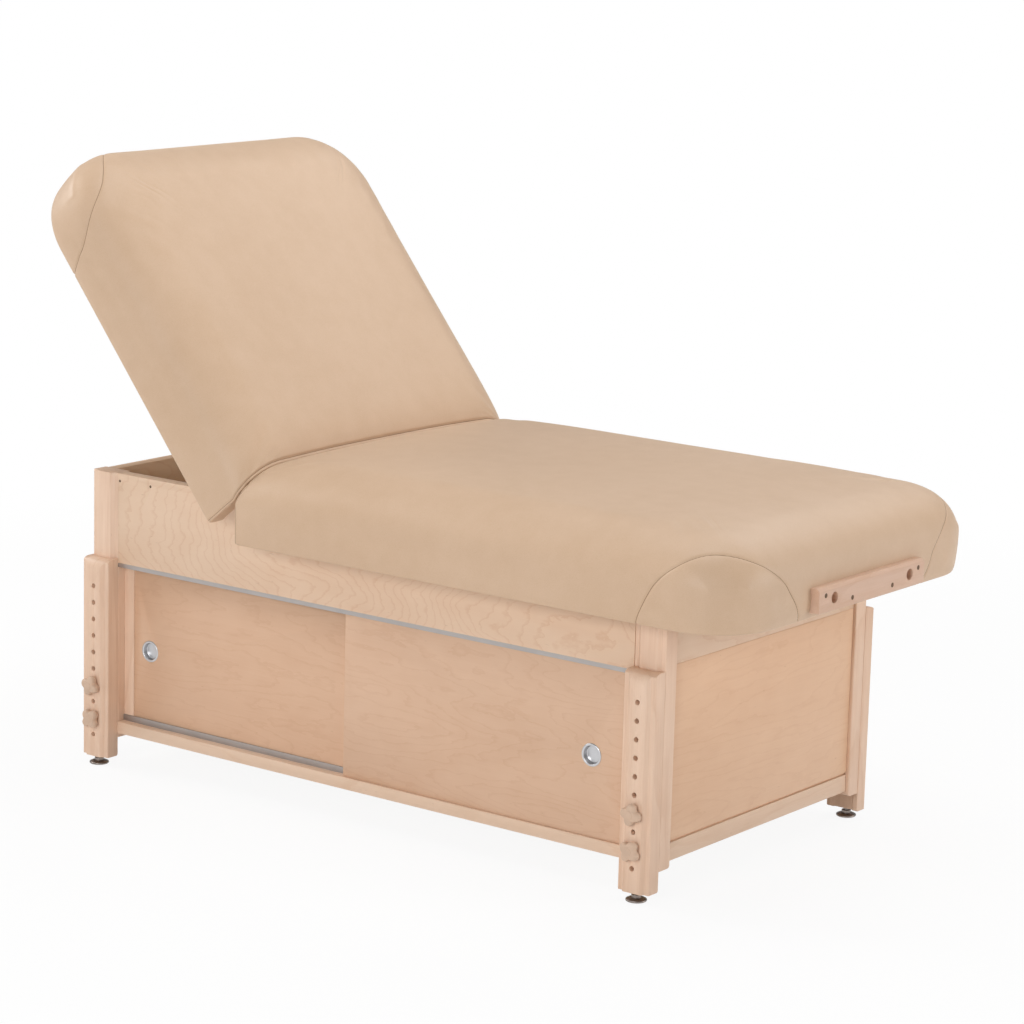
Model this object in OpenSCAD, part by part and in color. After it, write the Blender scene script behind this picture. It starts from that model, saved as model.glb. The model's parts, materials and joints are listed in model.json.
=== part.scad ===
// Cabinet massage table with a tilting backrest, shown with the backrest raised.
// X runs along the table towards the foot end, Y runs across it with the doors at -Y,
// and Z is up from the floor.

/* [Cabinet] */
// Length of the cabinet over its corner posts
cabinet_l = 1303.5; // [1150:0.5:1500]
// Depth of the cabinet from its front face to its back face
cabinet_d = 630; // [560:1:720]
// Height of the cabinet from its underside to the top edge of the aprons
cabinet_h = 497; // [460:1:560]
// Thickness of the four aprons
apron_t = 24; // [20:0.5:30]
// Height of the front apron, above the doors
front_apron_h = 169.5; // [140:0.5:190]
// Height of the back, head and foot aprons
end_apron_h = 157; // [130:1:190]
// Thickness of the head, foot and back panels
panel_t = 12; // [9:0.5:18]
// Height of the bottom rails under the doors and the back panel
bottom_rail_h = 22; // [20:0.5:30]
// Depth of the bottom rails under the doors and the back panel
bottom_rail_d = 40; // [38:0.5:50]
// How far those bottom rails stand proud of the cabinet's face
bottom_rail_proud = 2; // [0:0.5:4]
// Height of the head and foot bottom rails
end_rail_h = 32; // [28:0.5:45]
// Height of the shadow groove above the end rails
groove_h = 4; // [3:0.5:6]
// Depth of the shadow groove
groove_depth = 4; // [2:0.5:6]
// Thickness of the cabinet floor
floor_t = 12; // [9:0.5:16]
// How far the cabinet floor's top lies below the top of the bottom rails
floor_drop = 4; // [1:0.5:8]
// Width of the jamb strips beside the rear door
stile_w = 24; // [18:0.5:35]
// Thickness of the crossbar under the hinge
crossbar_t = 24; // [20:0.5:30]
// How far the crossbar's lower edge lies above the front apron's
crossbar_up = 1; // [0.5:0.5:4]
// Clearance between the crossbar and the hinge's knuckles
crossbar_clear = 6; // [4:0.5:10]

/* [Posts and legs] */
// Width of the posts and the legs
post_w = 63.5; // [55:0.5:75]
// Thickness of a post behind its shoulders
post_t = 33; // [30:0.5:38]
// How far a post hangs below the cabinet
post_drop = 9; // [0:0.5:15]
// How far the post's side stands proud of the end panels
post_proud = 5.75; // [0:0.25:8]
// Width of the raised rib's flat face
rib_w = 34; // [26:0.5:40]
// Height of the raised rib, with sides at 45 degrees
rib_h = 6; // [4:0.5:8]
// Bevel along the long edges of posts and legs
edge_ease = 1.5; // [0.5:0.25:3]
// Thickness of a leg between its back land and its shoulders
leg_t = 27; // [24:0.5:32]
// Radius of the round at the leg's top front edge
leg_top_r = 20; // [12:0.5:24]
// Radius of the rounds at the lower back edges of legs and posts
foot_round_r = 8; // [3:0.5:12]
// Play between the leg's groove and the post's rib
groove_play = 0.5; // [0.3:0.1:1]
// Diameter of the height holes
hole_d = 9.5; // [9:0.25:12]
// Pitch of the height holes
hole_pitch = 31.75; // [28:0.25:35]
// Number of height holes in a leg
hole_count = 10; // [8:1:11]
// Distance from the leg's top down to the top hole
top_hole_drop = 51.2; // [40:0.1:60]
// Distance from the leg's lower end up to the bottom hole
bottom_hole_up = 42.45; // [40:0.05:55]
// Height hole that the lower knob goes through, counted from 0 at the bottom
lower_hole = 1; // [0:1:3]
// Height holes from the lower knob up to the upper knob
knob_hole_step = 2; // [2:1:3]
// Height of the lower knob above the cabinet's underside
insert_up = 29.8; // [25:0.1:40]

/* [Knobs and glides] */
// Radius over a knob's four lobes
knob_r = 20; // [17:0.5:24]
// Radius of one lobe
lobe_r = 8.2; // [7:0.1:9.5]
// Radius of the knob's body between its lobes
knob_waist_r = 14; // [11:0.5:15.5]
// Thickness of the knob's lobed body
knob_t = 12.5; // [10:0.5:18]
// Radius of the collar behind the knob
knob_collar_r = 9; // [7:0.5:11]
// Length of the collar behind the knob
knob_collar_l = 2.5; // [1.5:0.25:5]
// Radius of the knob's threaded stud
stud_r = 4; // [3:0.25:4.25]
// Length of stud that is held in the post's insert
stud_grip = 15; // [10:0.5:16]
// Radius of the threaded inserts in the posts
post_insert_r = 6; // [5.5:0.25:7]
// Length of the threaded inserts in the posts
post_insert_l = 20; // [18:0.5:26]
// Radius of a glide's foot
glide_r = 18.3; // [14:0.1:22]
// Height from the floor to the lower end of a leg
glide_h = 16.6; // [14:0.1:30]
// Radius of a glide's threaded stem
glide_stem_r = 5; // [4:0.25:6]
// Length of stem inside the leg
glide_grip = 26; // [20:0.5:28]
// Radius of the threaded inserts in the legs
leg_insert_r = 8; // [7:0.25:9]
// Length of the threaded inserts in the legs
leg_insert_l = 30; // [28.5:0.5:33]
// Height of a glide's foot
glide_foot_h = 6.6; // [5:0.1:8]
// Radius of the nut above a glide's foot
glide_nut_r = 8.5; // [7:0.25:10]
// Height of that nut
glide_nut_h = 5; // [3:0.25:6]
// Radial play of a screw or pin that turns in its hole
run_play = 0.05; // [0.02:0.01:0.1]

/* [Doors] */
// Thickness of the sliding doors
door_t = 12; // [9:0.5:15]
// Length of each door
door_l = 626; // [580:1:680]
// Thickness of the tracks' lips, fins and webs
track_wall = 1.6; // [1.2:0.1:2.5]
// Height of the upper track
upper_track_h = 8; // [6:0.5:12]
// Height of the lower track
lower_track_h = 11.6; // [8:0.1:14]
// How far the tracks' front lies behind the cabinet's face
track_set = 0.5; // [0:0.1:2]
// Play between a door and the track on each side
door_play = 0.8; // [0.5:0.1:1.2]
// Distance from the front door's foot end to the middle of its pull
front_pull_inset = 83; // [50:1:120]
// Distance from the rear door's head end to the middle of its pull
rear_pull_inset = 41; // [30:1:120]
// Height of the pulls above the top of the bottom rail
pull_up = 143; // [100:1:200]
// Radius of a pull's flange
pull_r = 20.4; // [17:0.1:24]
// Thickness of a pull's flange
pull_flange_t = 1.2; // [0.8:0.1:1.5]
// Radius of a pull's cup
pull_cup_r = 17; // [12:0.25:17]
// Wall of a pull's cup
pull_wall = 1.2; // [0.8:0.1:2]
// Depth of a pull's cup
pull_depth = 8; // [6:0.5:8.5]

/* [Top] */
// How far the foot end of the top reaches past the posts
foot_overhang = 180.5; // [150:0.5:220]
// Length of the seat section from the hinge axis to its foot end
seat_l = 1070; // [960:1:1150]
// Length of the backrest section from the hinge axis to its head end
back_l = 733; // [680:1:820]
// How far the skirts stand out past the cabinet's faces on each side
side_overhang = 81; // [70:0.5:100]
// Angle of the backrest above level
tilt = 51; // [30:1:60]
// Thickness of the plywood decks
deck_t = 12; // [9:0.5:18]
// How much larger a deck's corner radius is than that of the pocket round it
deck_corner_more = 8; // [6:0.5:20]
// Height of the padding above the decks
foam_h = 78; // [60:1:100]
// How far the skirts hang below the decks
skirt_drop = 70; // [62:1:84]
// Thickness of the padded skirts
skirt_t = 20; // [14:0.5:24]
// Thickness of the wooden rails inside the skirts
rail_t = 20; // [16:0.5:22]
// How far the rails stop short of the skirts' lower edge
rail_short = 4; // [2:0.5:10]
// Corner radius of the seat section, seen from above
seat_corner_r = 120; // [110:1:160]
// Corner radius of the backrest section, seen from above
back_corner_r = 145; // [110:1:170]
// Width of the round along the padding's top edge
edge_round_w = 102; // [60:1:108]
// Height of the crown in the middle of the padding
crown_h = 6; // [2:0.5:12]
// How far the padding dips into the crease between the sections
crease_dip = 14; // [6:1:20]
// How far the long sides are drawn in at their middle
side_draw = 3; // [0:0.5:6]
// Clearance of padding from the pieces that it covers
soft_gap = 0.3; // [0.2:0.05:0.6]
// Width of the bevel round the skirts' lower edge
hem_w = 3; // [1:0.5:5]
// Height of that bevel
hem_h = 4; // [1:0.5:6]
// Distance from the deck's top up to the start of the rounded edge
shoulder_up = 2; // [1:0.5:6]
// Distance from the deck's hinge end to the start of the rails
rail_start = 4; // [2:0.5:20]

/* [Hinge] */
// Distance from the aprons' inner faces to the ends of the hinge
hinge_end_gap = 16; // [8:0.5:50]
// Width of a hinge leaf from the axis
leaf_w = 54; // [46:1:70]
// Thickness of a hinge leaf
leaf_t = 2.5; // [2:0.1:3]
// Radius of the hinge's knuckles
knuckle_r = 6; // [5:0.25:6.5]
// Radius of the hinge pin
hinge_pin_r = 3; // [2.5:0.1:3.5]
// Distance from the hinge axis to the ends of the decks
deck_setback = 8; // [7.5:0.5:12]
// Gap between neighbouring knuckles
knuckle_gap = 1; // [0.5:0.1:2]

/* [Gas strut] */
// Distance from the hinge axis along the deck to the strut's upper pin
upper_pin_x = 200; // [190:1:210]
// Distance of the upper pin below the hinge axis, with the deck level
upper_pin_z = 20; // [19:0.5:24]
// Distance from the hinge axis back to the strut's lower pin
lower_pin_x = 40; // [36:1:44]
// Distance of the lower pin below the hinge axis
lower_pin_z = 140; // [136:1:144]
// Radius of both pins
strut_pin_r = 4; // [3:0.25:4.5]
// Radius of the strut's cylinder
cylinder_r = 11; // [9.5:0.25:13]
// Wall of the strut's cylinder
cylinder_wall = 2; // [1.5:0.1:3]
// Length of the cylinder from its pin to its gland
cylinder_l = 152; // [150:1:156]
// Radius of the strut's rod
rod_r = 5; // [4:0.25:5.5]
// Height of the piston
piston_h = 10; // [6:0.5:12]
// Play of the upper eye round its pin, which takes up the strut's free angle
eye_play = 7.2; // [7:0.1:7.8]
// Thickness of the strut's eyes
eye_t = 12; // [11.5:0.5:14]
// Wall of the strut's eyes
eye_wall = 4.3; // [3.5:0.1:4.8]
// Thickness of the brackets' ears and plates
bracket_t = 4; // [3:0.25:4.5]
// Length of the brackets' plates
plate_l = 52; // [44:1:54]
// Width of the brackets' plates
plate_w = 44; // [32:1:60]
// How far the brackets' pins stand out of their ears
pin_end = 3; // [2:0.5:6]
// Length of the neck between the cylinder and its lower eye
cylinder_neck = 9; // [7:0.5:12]
// Thickness of the cylinder's closed ends
gland_h = 6; // [4:0.5:8]
// Distance from the gland to the piston, with the strut fully out
piston_gap = 4; // [2:0.5:8]

/* [Cradle block] */
// Length of the block across the foot end
block_l = 336; // [300:1:380]
// Height of the block
block_h = 42; // [36:0.5:50]
// How far the block stands proud of the skirt
block_proud = 18; // [14:0.5:25]
// Distance from the deck's underside down to the block's top
block_drop = 16; // [12:0.5:22]
// Bevel along the block's top edge
block_bevel = 5; // [2:0.5:8]
// Radius of the two cradle holes
cradle_r = 10; // [8:0.25:12]
// Distance between the two cradle holes
cradle_spacing = 240; // [210:1:260]

/* [Screws] */
// Radius of the screws' shanks
screw_r = 2.2; // [1.8:0.1:2.8]
// Radius of the screws' heads
screw_head_r = 4.2; // [3.6:0.1:5]
// Height of the screws' heads
screw_head_h = 3; // [2.4:0.1:3.5]
// Length of the screws
screw_l = 34; // [30:1:38]
// Radius of the heads of the small screws in the aprons
small_head_r = 2.5; // [2.3:0.1:4]
// Distance from the aprons' head end to the two small screws
small_screw_1 = 4; // [4:0.5:20]
small_screw_2 = 81; // [40:1:150]
// Distance from the aprons' top down to the small screws
small_screw_drop = 14; // [8:0.5:30]

/* [Hidden] */

HEAD = -1;
FOOT = 1;
FRONT = -1;
BACK = 1;
// Facets of small round pieces and of large ones
FINE = 48;
ROUND = 64;
// Overlap that keeps a cutter clear of the face that it cuts
cut = 1;
// Gap between flat faces of pieces that move past each other
slide_gap = 0.3;

leg_l = top_hole_drop + (hole_count - 1) * hole_pitch + bottom_hole_up;
lower_hole_z = glide_h + bottom_hole_up + lower_hole * hole_pitch;
upper_hole_z = lower_hole_z + knob_hole_step * hole_pitch;
cabinet_z = lower_hole_z - insert_up;
top_z = cabinet_z + cabinet_h;

post_x = cabinet_l / 2 - post_w / 2;
face_y = cabinet_d / 2;
end_x = cabinet_l / 2 - post_proud;
span_x = cabinet_l - 2 * post_w;
span_y = cabinet_d - 2 * post_t;
front_apron_z = top_z - front_apron_h;
end_apron_z = top_z - end_apron_h;
ledge_z = cabinet_z + bottom_rail_h;
rail_inner_y = face_y + bottom_rail_proud - bottom_rail_d;
floor_z = ledge_z - floor_drop - floor_t;
leg_depth = leg_t + rib_h;
leg_mid = leg_depth / 2;

// Door slots, measured inwards from the cabinet's front face
slot_w = door_t + 2 * door_play;
fin_in = track_set + track_wall + slot_w;
rear_lip_in = fin_in + track_wall + slot_w;
front_door_in = track_set + track_wall + door_play;
rear_door_in = fin_in + track_wall + door_play;
door_top_z = front_apron_z - track_wall - slide_gap;
front_door_z = ledge_z + slide_gap;
rear_door_z = ledge_z + track_wall + slide_gap;
front_door_x = span_x / 2 - slide_gap - door_l;
rear_door_x = -span_x / 2 + stile_w + slide_gap;
pull_z = ledge_z + pull_up;
front_pull_x = front_door_x + door_l - front_pull_inset;
rear_pull_x = rear_door_x + rear_pull_inset;

// The hinge axis and the levels of the top, with the top flat
hinge_x = cabinet_l / 2 + foot_overhang - seat_l;
hinge_z = top_z - leaf_t / 2;
foot_x = hinge_x + seat_l;
top_half = face_y + side_overhang;
deck_top = top_z + deck_t;
skirt_z = top_z - skirt_drop;
shoulder_z = deck_top + shoulder_up;
round_top_z = deck_top + foam_h - crown_h;
crossbar_x = hinge_x + knuckle_r + crossbar_clear;
crossbar_z = front_apron_z + crossbar_up;
leaf_z = top_z - leaf_t;
hinge_l = cabinet_d - 2 * (apron_t + hinge_end_gap);

// Strut lengths and angles from the two pins
flat_run = [lower_pin_x - upper_pin_x, lower_pin_z - upper_pin_z];
raised_pin = [
    -upper_pin_x * cos(tilt) - upper_pin_z * sin(tilt),
    upper_pin_x * sin(tilt) - upper_pin_z * cos(tilt)
];
raised_run = [raised_pin.x + lower_pin_x, raised_pin.y + lower_pin_z];
strut_raised_l = norm(raised_run);
strut_flat_l = norm(flat_run);
strut_angle = atan2(raised_run.x, raised_run.y);
upper_eye_r = strut_pin_r + eye_play + eye_wall;
lower_eye_r = strut_pin_r + eye_wall;
ear_gap = eye_t + 1;

block_z = top_z - block_drop - block_h;
block_mid_z = block_z + block_h / 2;
rail_foot_x = foot_x - skirt_t - soft_gap;
block_screw_l = block_proud + skirt_t + rail_t * 0.7;
// Places of the deck's screws as shares of the half length, and of the block's screws as
// shares of its length and height
screw_rows = [-0.05, 0.42, 0.8];
block_screws = [[-0.44, 0.68], [-0.19, 0.28], [0.19, 0.28], [0.44, 0.68]];

// Padding mesh: stations along a side, round a corner and across half an end
SIDE_N = 7;
CORNER_N = 7;
END_N = 3;
ROUND_N = 7;
CROWN = [0.3, 0.62, 0.9];
HALF_N = SIDE_N + 1 + CORNER_N + END_N;
RING_N = 2 * HALF_N - 1;

// Where the hinge end's face lies at height z: upright below the axis, and leaning
// back by half the tilt above it, so that both paddings meet when the backrest is up
function crease_x(z) = soft_gap + max(0, z - hinge_z) * tan(tilt / 2);
// How much a level takes part in the crease's dip, 0 at the shoulder and 1 at the top
function dip_share(z) = max(0, (z - shoulder_z) / (round_top_z - shoulder_z));
function station(k) = pow(k / SIDE_N, 1.7);
function dip(k, z) = crease_dip * dip_share(z) * exp(-5 * k);
function lerp(a, b, t) = a + (b - a) * t;

// Moves a point of the ring by the share t towards the padding's spine, which ends as
// far from the far end as the sides are from the middle
function inwards(p, len, t) = [lerp(p.x, min(p.x, len - top_half), t), lerp(p.y, 0, t), p.z];
// Half of one ring of the padding, from the hinge end to the middle of the far end
function half_ring(len, r, inset, z, draw, t) = concat(
    [for (k = [0:SIDE_N])
        let (s = station(k), zk = z - dip(k, z))
        inwards([lerp(crease_x(zk), len - r, s),
                 -(top_half - inset - draw * sin(180 * s)), zk], len, t)],
    [for (k = [1:CORNER_N])
        let (a = 90 * k / CORNER_N)
        inwards([len - r + (r - inset) * sin(a),
                 -(top_half - r) - (r - inset) * cos(a), z], len, t)],
    [for (k = [1:END_N])
        inwards([len - inset, -(top_half - r) * (1 - k / END_N), z], len, t)]
);
function ring(len, r, inset, z, draw = 0, t = 0) =
    let (h = half_ring(len, r, inset, z, draw, t))
    concat(h, [for (k = [HALF_N - 2:-1:0]) [h[k].x, -h[k].y, h[k].z]]);

// All rings of a padding, from the edge of the pocket's ceiling, down inside the skirt,
// round its lower edge, up the outside, over the rounded edge and on to the crown
function padding_rings(len, r) = concat(
    [ring(len, r, skirt_t, deck_top + soft_gap)],
    [ring(len, r, skirt_t, hinge_z)],
    [ring(len, r, skirt_t, skirt_z)],
    [ring(len, r, hem_w, skirt_z)],
    [ring(len, r, 0, skirt_z + hem_h)],
    [ring(len, r, 0, hinge_z, side_draw)],
    [for (k = [0:ROUND_N])
        let (a = 90 * k / ROUND_N)
        ring(len, r, edge_round_w * (1 - cos(a)),
             lerp(shoulder_z, round_top_z, sin(a)), side_draw)],
    [for (t = CROWN)
        ring(len, r, edge_round_w, round_top_z + crown_h * (1 - (1 - t) * (1 - t)), side_draw, t)]
);
RINGS = 6 + ROUND_N + 1 + len(CROWN);
LAST = RINGS - 1;
// Index of point i of ring k, and the ring that starts the rounded edge
function id(k, i) = k * RING_N + i;
SHOULDER = 6;

function band_faces() = [for (k = [0:LAST - 1], i = [0:RING_N - 2]) each [
    [id(k, i), id(k + 1, i + 1), id(k, i + 1)],
    [id(k, i), id(k + 1, i), id(k + 1, i + 1)]
]];
function flip(f, up) = up ? f : [f[0], f[2], f[1]];
// Closes the U of ring k, facing up or down: strips between its two long sides and
// round its corners, then a fan to the points of its straight far end
function zip_faces(k, up) =
    let (j = SIDE_N + CORNER_N - 1)
    [for (f = concat(
        [for (i = [0:j - 1])
            let (a = id(k, i), b = id(k, i + 1), c = id(k, RING_N - 2 - i), d = id(k, RING_N - 1 - i))
            each [[a, d, b], [b, d, c]]],
        [for (m = [j + 1:RING_N - 2 - j]) [id(k, j), id(k, m + 1), id(k, m)]]))
        flip(f, up)];
// Closes the hinge end: the skirts' ends first, then strips from side to side
function end_faces() = concat(
    [for (s = [0, 1])
        let (e = s * (RING_N - 1),
             f = [[2, 4, 3], [2, 5, 4], [2, 1, 5], [1, 0, 5], [5, 0, SHOULDER]])
        each [for (t = f) s == 0 ? [for (k = t) id(k, e)] : [for (k = [2, 1, 0]) id(t[k], e)]]],
    [[id(0, 0), id(SHOULDER, RING_N - 1), id(SHOULDER, 0)],
     [id(0, 0), id(0, RING_N - 1), id(SHOULDER, RING_N - 1)]],
    [for (k = [SHOULDER:LAST - 1]) each [
        [id(k, 0), id(k, RING_N - 1), id(k + 1, RING_N - 1)],
        [id(k, 0), id(k + 1, RING_N - 1), id(k + 1, 0)]]]
);
function padding_points(len, r) = [for (g = padding_rings(len, r)) each g];

// The part's origin lies under the middle of its outline, with the backrest raised
head_reach = min([for (p = padding_points(back_l, back_corner_r))
    -p.x * cos(tilt) + (p.z + slide_gap - hinge_z) * sin(tilt)]);
mid_x = (foot_x + block_proud + hinge_x + head_reach) / 2;

MAPLE = "burlywood";
PLY = "wheat";
VINYL = "tan";
STEEL = "silver";
DARK = "dimgray";

module padding(len, r) {
    polyhedron(
        points = padding_points(len, r),
        faces = concat(band_faces(), zip_faces(0, false), zip_faces(LAST, true), end_faces()),
        convexity = 6
    );
}

// Moves a piece from the cabinet's middle to the part's origin
module placed() {
    translate([-mid_x, 0, 0]) children();
}

// Places a piece of the backrest, drawn level with X running away from the hinge
module raised(lift = slide_gap) {
    placed()
    translate([hinge_x, 0, hinge_z])
    rotate([0, tilt, 0])
    translate([0, 0, lift - hinge_z])
    mirror([1, 0, 0])
    children();
}

// Places a piece at a corner, with Y running outwards from the cabinet's face
module at_corner(end, side) {
    placed()
    translate([end * post_x, side * face_y, 0])
    mirror([0, side == FRONT ? 1 : 0, 0])
    children();
}

module along_y(r, h, y = 0) {
    translate([0, y, 0]) rotate([-90, 0, 0]) cylinder(r = r, h = h, $fn = FINE);
}

// Cuts a rounded edge that runs along X, with its corner at the origin, filling +Y and +Z
module edge_cutter(r, len) {
    difference() {
        translate([-len / 2, -r, -r]) cube([len, r + cut, r + cut]);
        translate([-len / 2 - cut, -r, -r])
        rotate([0, 90, 0])
        cylinder(r = r, h = len + 2 * cut, $fn = ROUND);
    }
}

module corner_post(end, side) {
    at_corner(end, side)
    color(MAPLE)
    difference() {
        translate([0, 0, cabinet_z - post_drop])
        linear_extrude(cabinet_h + post_drop)
        polygon([
            [-post_w / 2, -post_t + edge_ease], [-post_w / 2 + edge_ease, -post_t],
            [post_w / 2 - edge_ease, -post_t], [post_w / 2, -post_t + edge_ease],
            [post_w / 2, -edge_ease], [post_w / 2 - edge_ease, 0],
            [rib_w / 2 + rib_h, 0], [rib_w / 2, rib_h],
            [-rib_w / 2, rib_h], [-rib_w / 2 - rib_h, 0],
            [-post_w / 2 + edge_ease, 0], [-post_w / 2, -edge_ease]
        ]);
        for (z = [lower_hole_z, upper_hole_z])
            translate([0, 0, z])
            along_y(post_insert_r + run_play, post_insert_l + cut, rib_h - post_insert_l);
        translate([0, -post_t, cabinet_z - post_drop])
        rotate([180, 0, 0])
        edge_cutter(foot_round_r, post_w + cut);
    }
}

module height_leg(end, side) {
    at_corner(end, side)
    color(MAPLE)
    difference() {
        translate([0, 0, glide_h])
        linear_extrude(leg_l)
        polygon([
            [-post_w / 2, 0], [-rib_w / 2 - rib_h - groove_play, 0],
            [-rib_w / 2 - groove_play, rib_h + groove_play],
            [rib_w / 2 + groove_play, rib_h + groove_play],
            [rib_w / 2 + rib_h + groove_play, 0], [post_w / 2, 0],
            [post_w / 2, leg_t - edge_ease], [post_w / 2 - edge_ease, leg_t],
            [rib_w / 2 + rib_h, leg_t], [rib_w / 2, leg_depth],
            [-rib_w / 2, leg_depth], [-rib_w / 2 - rib_h, leg_t],
            [-post_w / 2 + edge_ease, leg_t], [-post_w / 2, leg_t - edge_ease]
        ]);
        for (k = [0:hole_count - 1])
            translate([0, 0, glide_h + bottom_hole_up + k * hole_pitch])
            along_y(hole_d / 2, leg_depth + 2 * cut, -cut);
        translate([0, leg_depth, glide_h + leg_l]) edge_cutter(leg_top_r, post_w + cut);
        translate([0, 0, glide_h]) rotate([180, 0, 0]) edge_cutter(foot_round_r / 2, post_w + cut);
        translate([0, leg_mid, glide_h - cut])
        cylinder(r = leg_insert_r + run_play, h = leg_insert_l + cut, $fn = FINE);
    }
}

// A lobed knob with its stud, behind which the leg and the post's insert lie
module knob(end, side, z, turn) {
    at_corner(end, side)
    translate([0, 0, z])
    color(MAPLE)
    rotate([0, turn, 0]) {
        translate([0, leg_depth + slide_gap, 0]) {
            along_y(knob_collar_r, knob_collar_l);
            translate([0, knob_collar_l + knob_t, 0])
            rotate([90, 0, 0])
            linear_extrude(knob_t) {
                circle(r = knob_waist_r, $fn = ROUND);
                for (a = [0:90:270])
                    rotate(a) translate([knob_r - lobe_r, 0]) circle(r = lobe_r, $fn = FINE);
            }
        }
        along_y(stud_r, leg_depth + slide_gap + knob_collar_l + stud_grip - rib_h, rib_h - stud_grip);
    }
}

module glide(end, side) {
    nut_z = glide_foot_h + glide_nut_h;
    at_corner(end, side)
    translate([0, leg_mid, 0])
    color(STEEL)
    rotate_extrude($fn = ROUND)
    polygon([
        [0, 0], [glide_r - 1, 0], [glide_r, 1], [glide_r, 0.6 * glide_foot_h],
        [0.62 * glide_r, glide_foot_h], [glide_nut_r, glide_foot_h], [glide_nut_r, nut_z],
        [glide_stem_r, nut_z], [glide_stem_r, glide_h + glide_grip], [0, glide_h + glide_grip]
    ]);
}

module sleeve(r, bore, len) {
    difference() {
        cylinder(r = r, h = len, $fn = FINE);
        translate([0, 0, -cut]) cylinder(r = bore, h = len + 2 * cut, $fn = FINE);
    }
}

module post_inserts() {
    for (end = [HEAD, FOOT], side = [FRONT, BACK], z = [lower_hole_z, upper_hole_z])
        at_corner(end, side)
        translate([0, rib_h - post_insert_l, z])
        color("goldenrod")
        rotate([-90, 0, 0])
        sleeve(post_insert_r, stud_r + run_play, post_insert_l);
}

module leg_inserts() {
    for (end = [HEAD, FOOT], side = [FRONT, BACK])
        at_corner(end, side)
        translate([0, leg_mid, glide_h])
        color("goldenrod")
        sleeve(leg_insert_r, glide_stem_r + run_play, leg_insert_l);
}

// A board given by its lowest corner and its size
module board(from, size, tone = MAPLE) {
    placed() color(tone) translate(from) cube(size);
}

// Pilot holes for the screws that hold the seat's deck to the long aprons
module deck_screw_places() {
    for (s = screw_rows, side = [FRONT, BACK])
        translate([s * span_x / 2, side * (face_y - apron_t / 2), deck_top]) children();
}

module apron_screw_places(side) {
    for (d = [small_screw_1, small_screw_2])
        translate([-span_x / 2 + d, side * face_y, top_z - small_screw_drop]) children();
}

// Screw that points down from its head's top, which lies at the origin
module screw(r = screw_r, head_r = screw_head_r, len = screw_l) {
    translate([0, 0, -len]) cylinder(r = r, h = len, $fn = FINE);
    translate([0, 0, -screw_head_h])
    cylinder(r1 = r, r2 = head_r, h = screw_head_h, $fn = FINE);
}

module screw_hole() {
    translate([0, 0, run_play])
    screw(screw_r + run_play, screw_head_r + run_play, screw_l + 2 * run_play);
}

module facing(side) {
    rotate([side == FRONT ? 90 : -90, 0, 0]) children();
}

module long_apron(side, h) {
    placed()
    color(PLY)
    difference() {
        translate([-span_x / 2, side == FRONT ? -face_y : face_y - apron_t, top_z - h])
        cube([span_x, apron_t, h]);
        deck_screw_places() screw_hole();
        apron_screw_places(side) facing(side) apron_screw(run_play);
    }
}

// Short screw whose head is flush with an apron's face
module apron_screw(play = 0) {
    translate([0, 0, play])
    screw(screw_r + play, small_head_r + play, apron_t / 2 + 2 * play);
}

module front_apron() {
    long_apron(FRONT, front_apron_h);
}

module back_apron() {
    long_apron(BACK, end_apron_h);
}

module end_board(end, t, z, h) {
    board([end == HEAD ? -end_x : end_x - t, -span_y / 2, z], [t, span_y, h], PLY);
}

module head_apron() {
    end_board(HEAD, apron_t, end_apron_z, end_apron_h);
}

module foot_apron() {
    end_board(FOOT, apron_t, end_apron_z, end_apron_h);
}

// End panel with the shadow groove along its lower edge
module end_panel(end) {
    rail_top = cabinet_z + end_rail_h;
    placed()
    color(PLY)
    difference() {
        translate([end == HEAD ? -end_x : end_x - panel_t, -span_y / 2, rail_top])
        cube([panel_t, span_y, end_apron_z - rail_top]);
        translate([end * end_x - groove_depth, -span_y / 2 - cut, rail_top - cut])
        cube([2 * groove_depth, span_y + 2 * cut, groove_h + cut]);
    }
}

module head_panel() {
    end_panel(HEAD);
}

module foot_panel() {
    end_panel(FOOT);
}

module back_panel() {
    board([-span_x / 2, face_y - panel_t, ledge_z], [span_x, panel_t, end_apron_z - ledge_z], PLY);
}

module cabinet_floor() {
    board([-end_x + apron_t, -rail_inner_y, floor_z],
          [2 * (end_x - apron_t), 2 * rail_inner_y, floor_t], PLY);
}

module front_bottom_rail() {
    board([-span_x / 2, -face_y - bottom_rail_proud, cabinet_z],
          [span_x, bottom_rail_d, bottom_rail_h]);
}

module back_bottom_rail() {
    board([-span_x / 2, rail_inner_y, cabinet_z], [span_x, bottom_rail_d, bottom_rail_h]);
}

module head_bottom_rail() {
    end_board(HEAD, apron_t, cabinet_z, end_rail_h);
}

module foot_bottom_rail() {
    end_board(FOOT, apron_t, cabinet_z, end_rail_h);
}

// Jamb strip that stands in the rear slot of both tracks
module stile(end) {
    board([end == HEAD ? -span_x / 2 : span_x / 2 - stile_w,
           -face_y + fin_in + track_wall + soft_gap, ledge_z + track_wall],
          [stile_w, slot_w - 2 * soft_gap, front_apron_z - ledge_z - 2 * track_wall]);
}

module head_stile() {
    stile(HEAD);
}

module foot_stile() {
    stile(FOOT);
}

// Channel with a front lip, a middle fin and a rear lip that hang from its web
module upper_track() {
    web = front_apron_z - track_wall;
    for (y = [track_set, fin_in, rear_lip_in])
        board([-span_x / 2, -face_y + y, front_apron_z - upper_track_h],
              [span_x, track_wall, upper_track_h], STEEL);
    board([-span_x / 2, -face_y + track_set, web],
          [span_x, rear_lip_in + track_wall - track_set, track_wall], STEEL);
}

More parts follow.
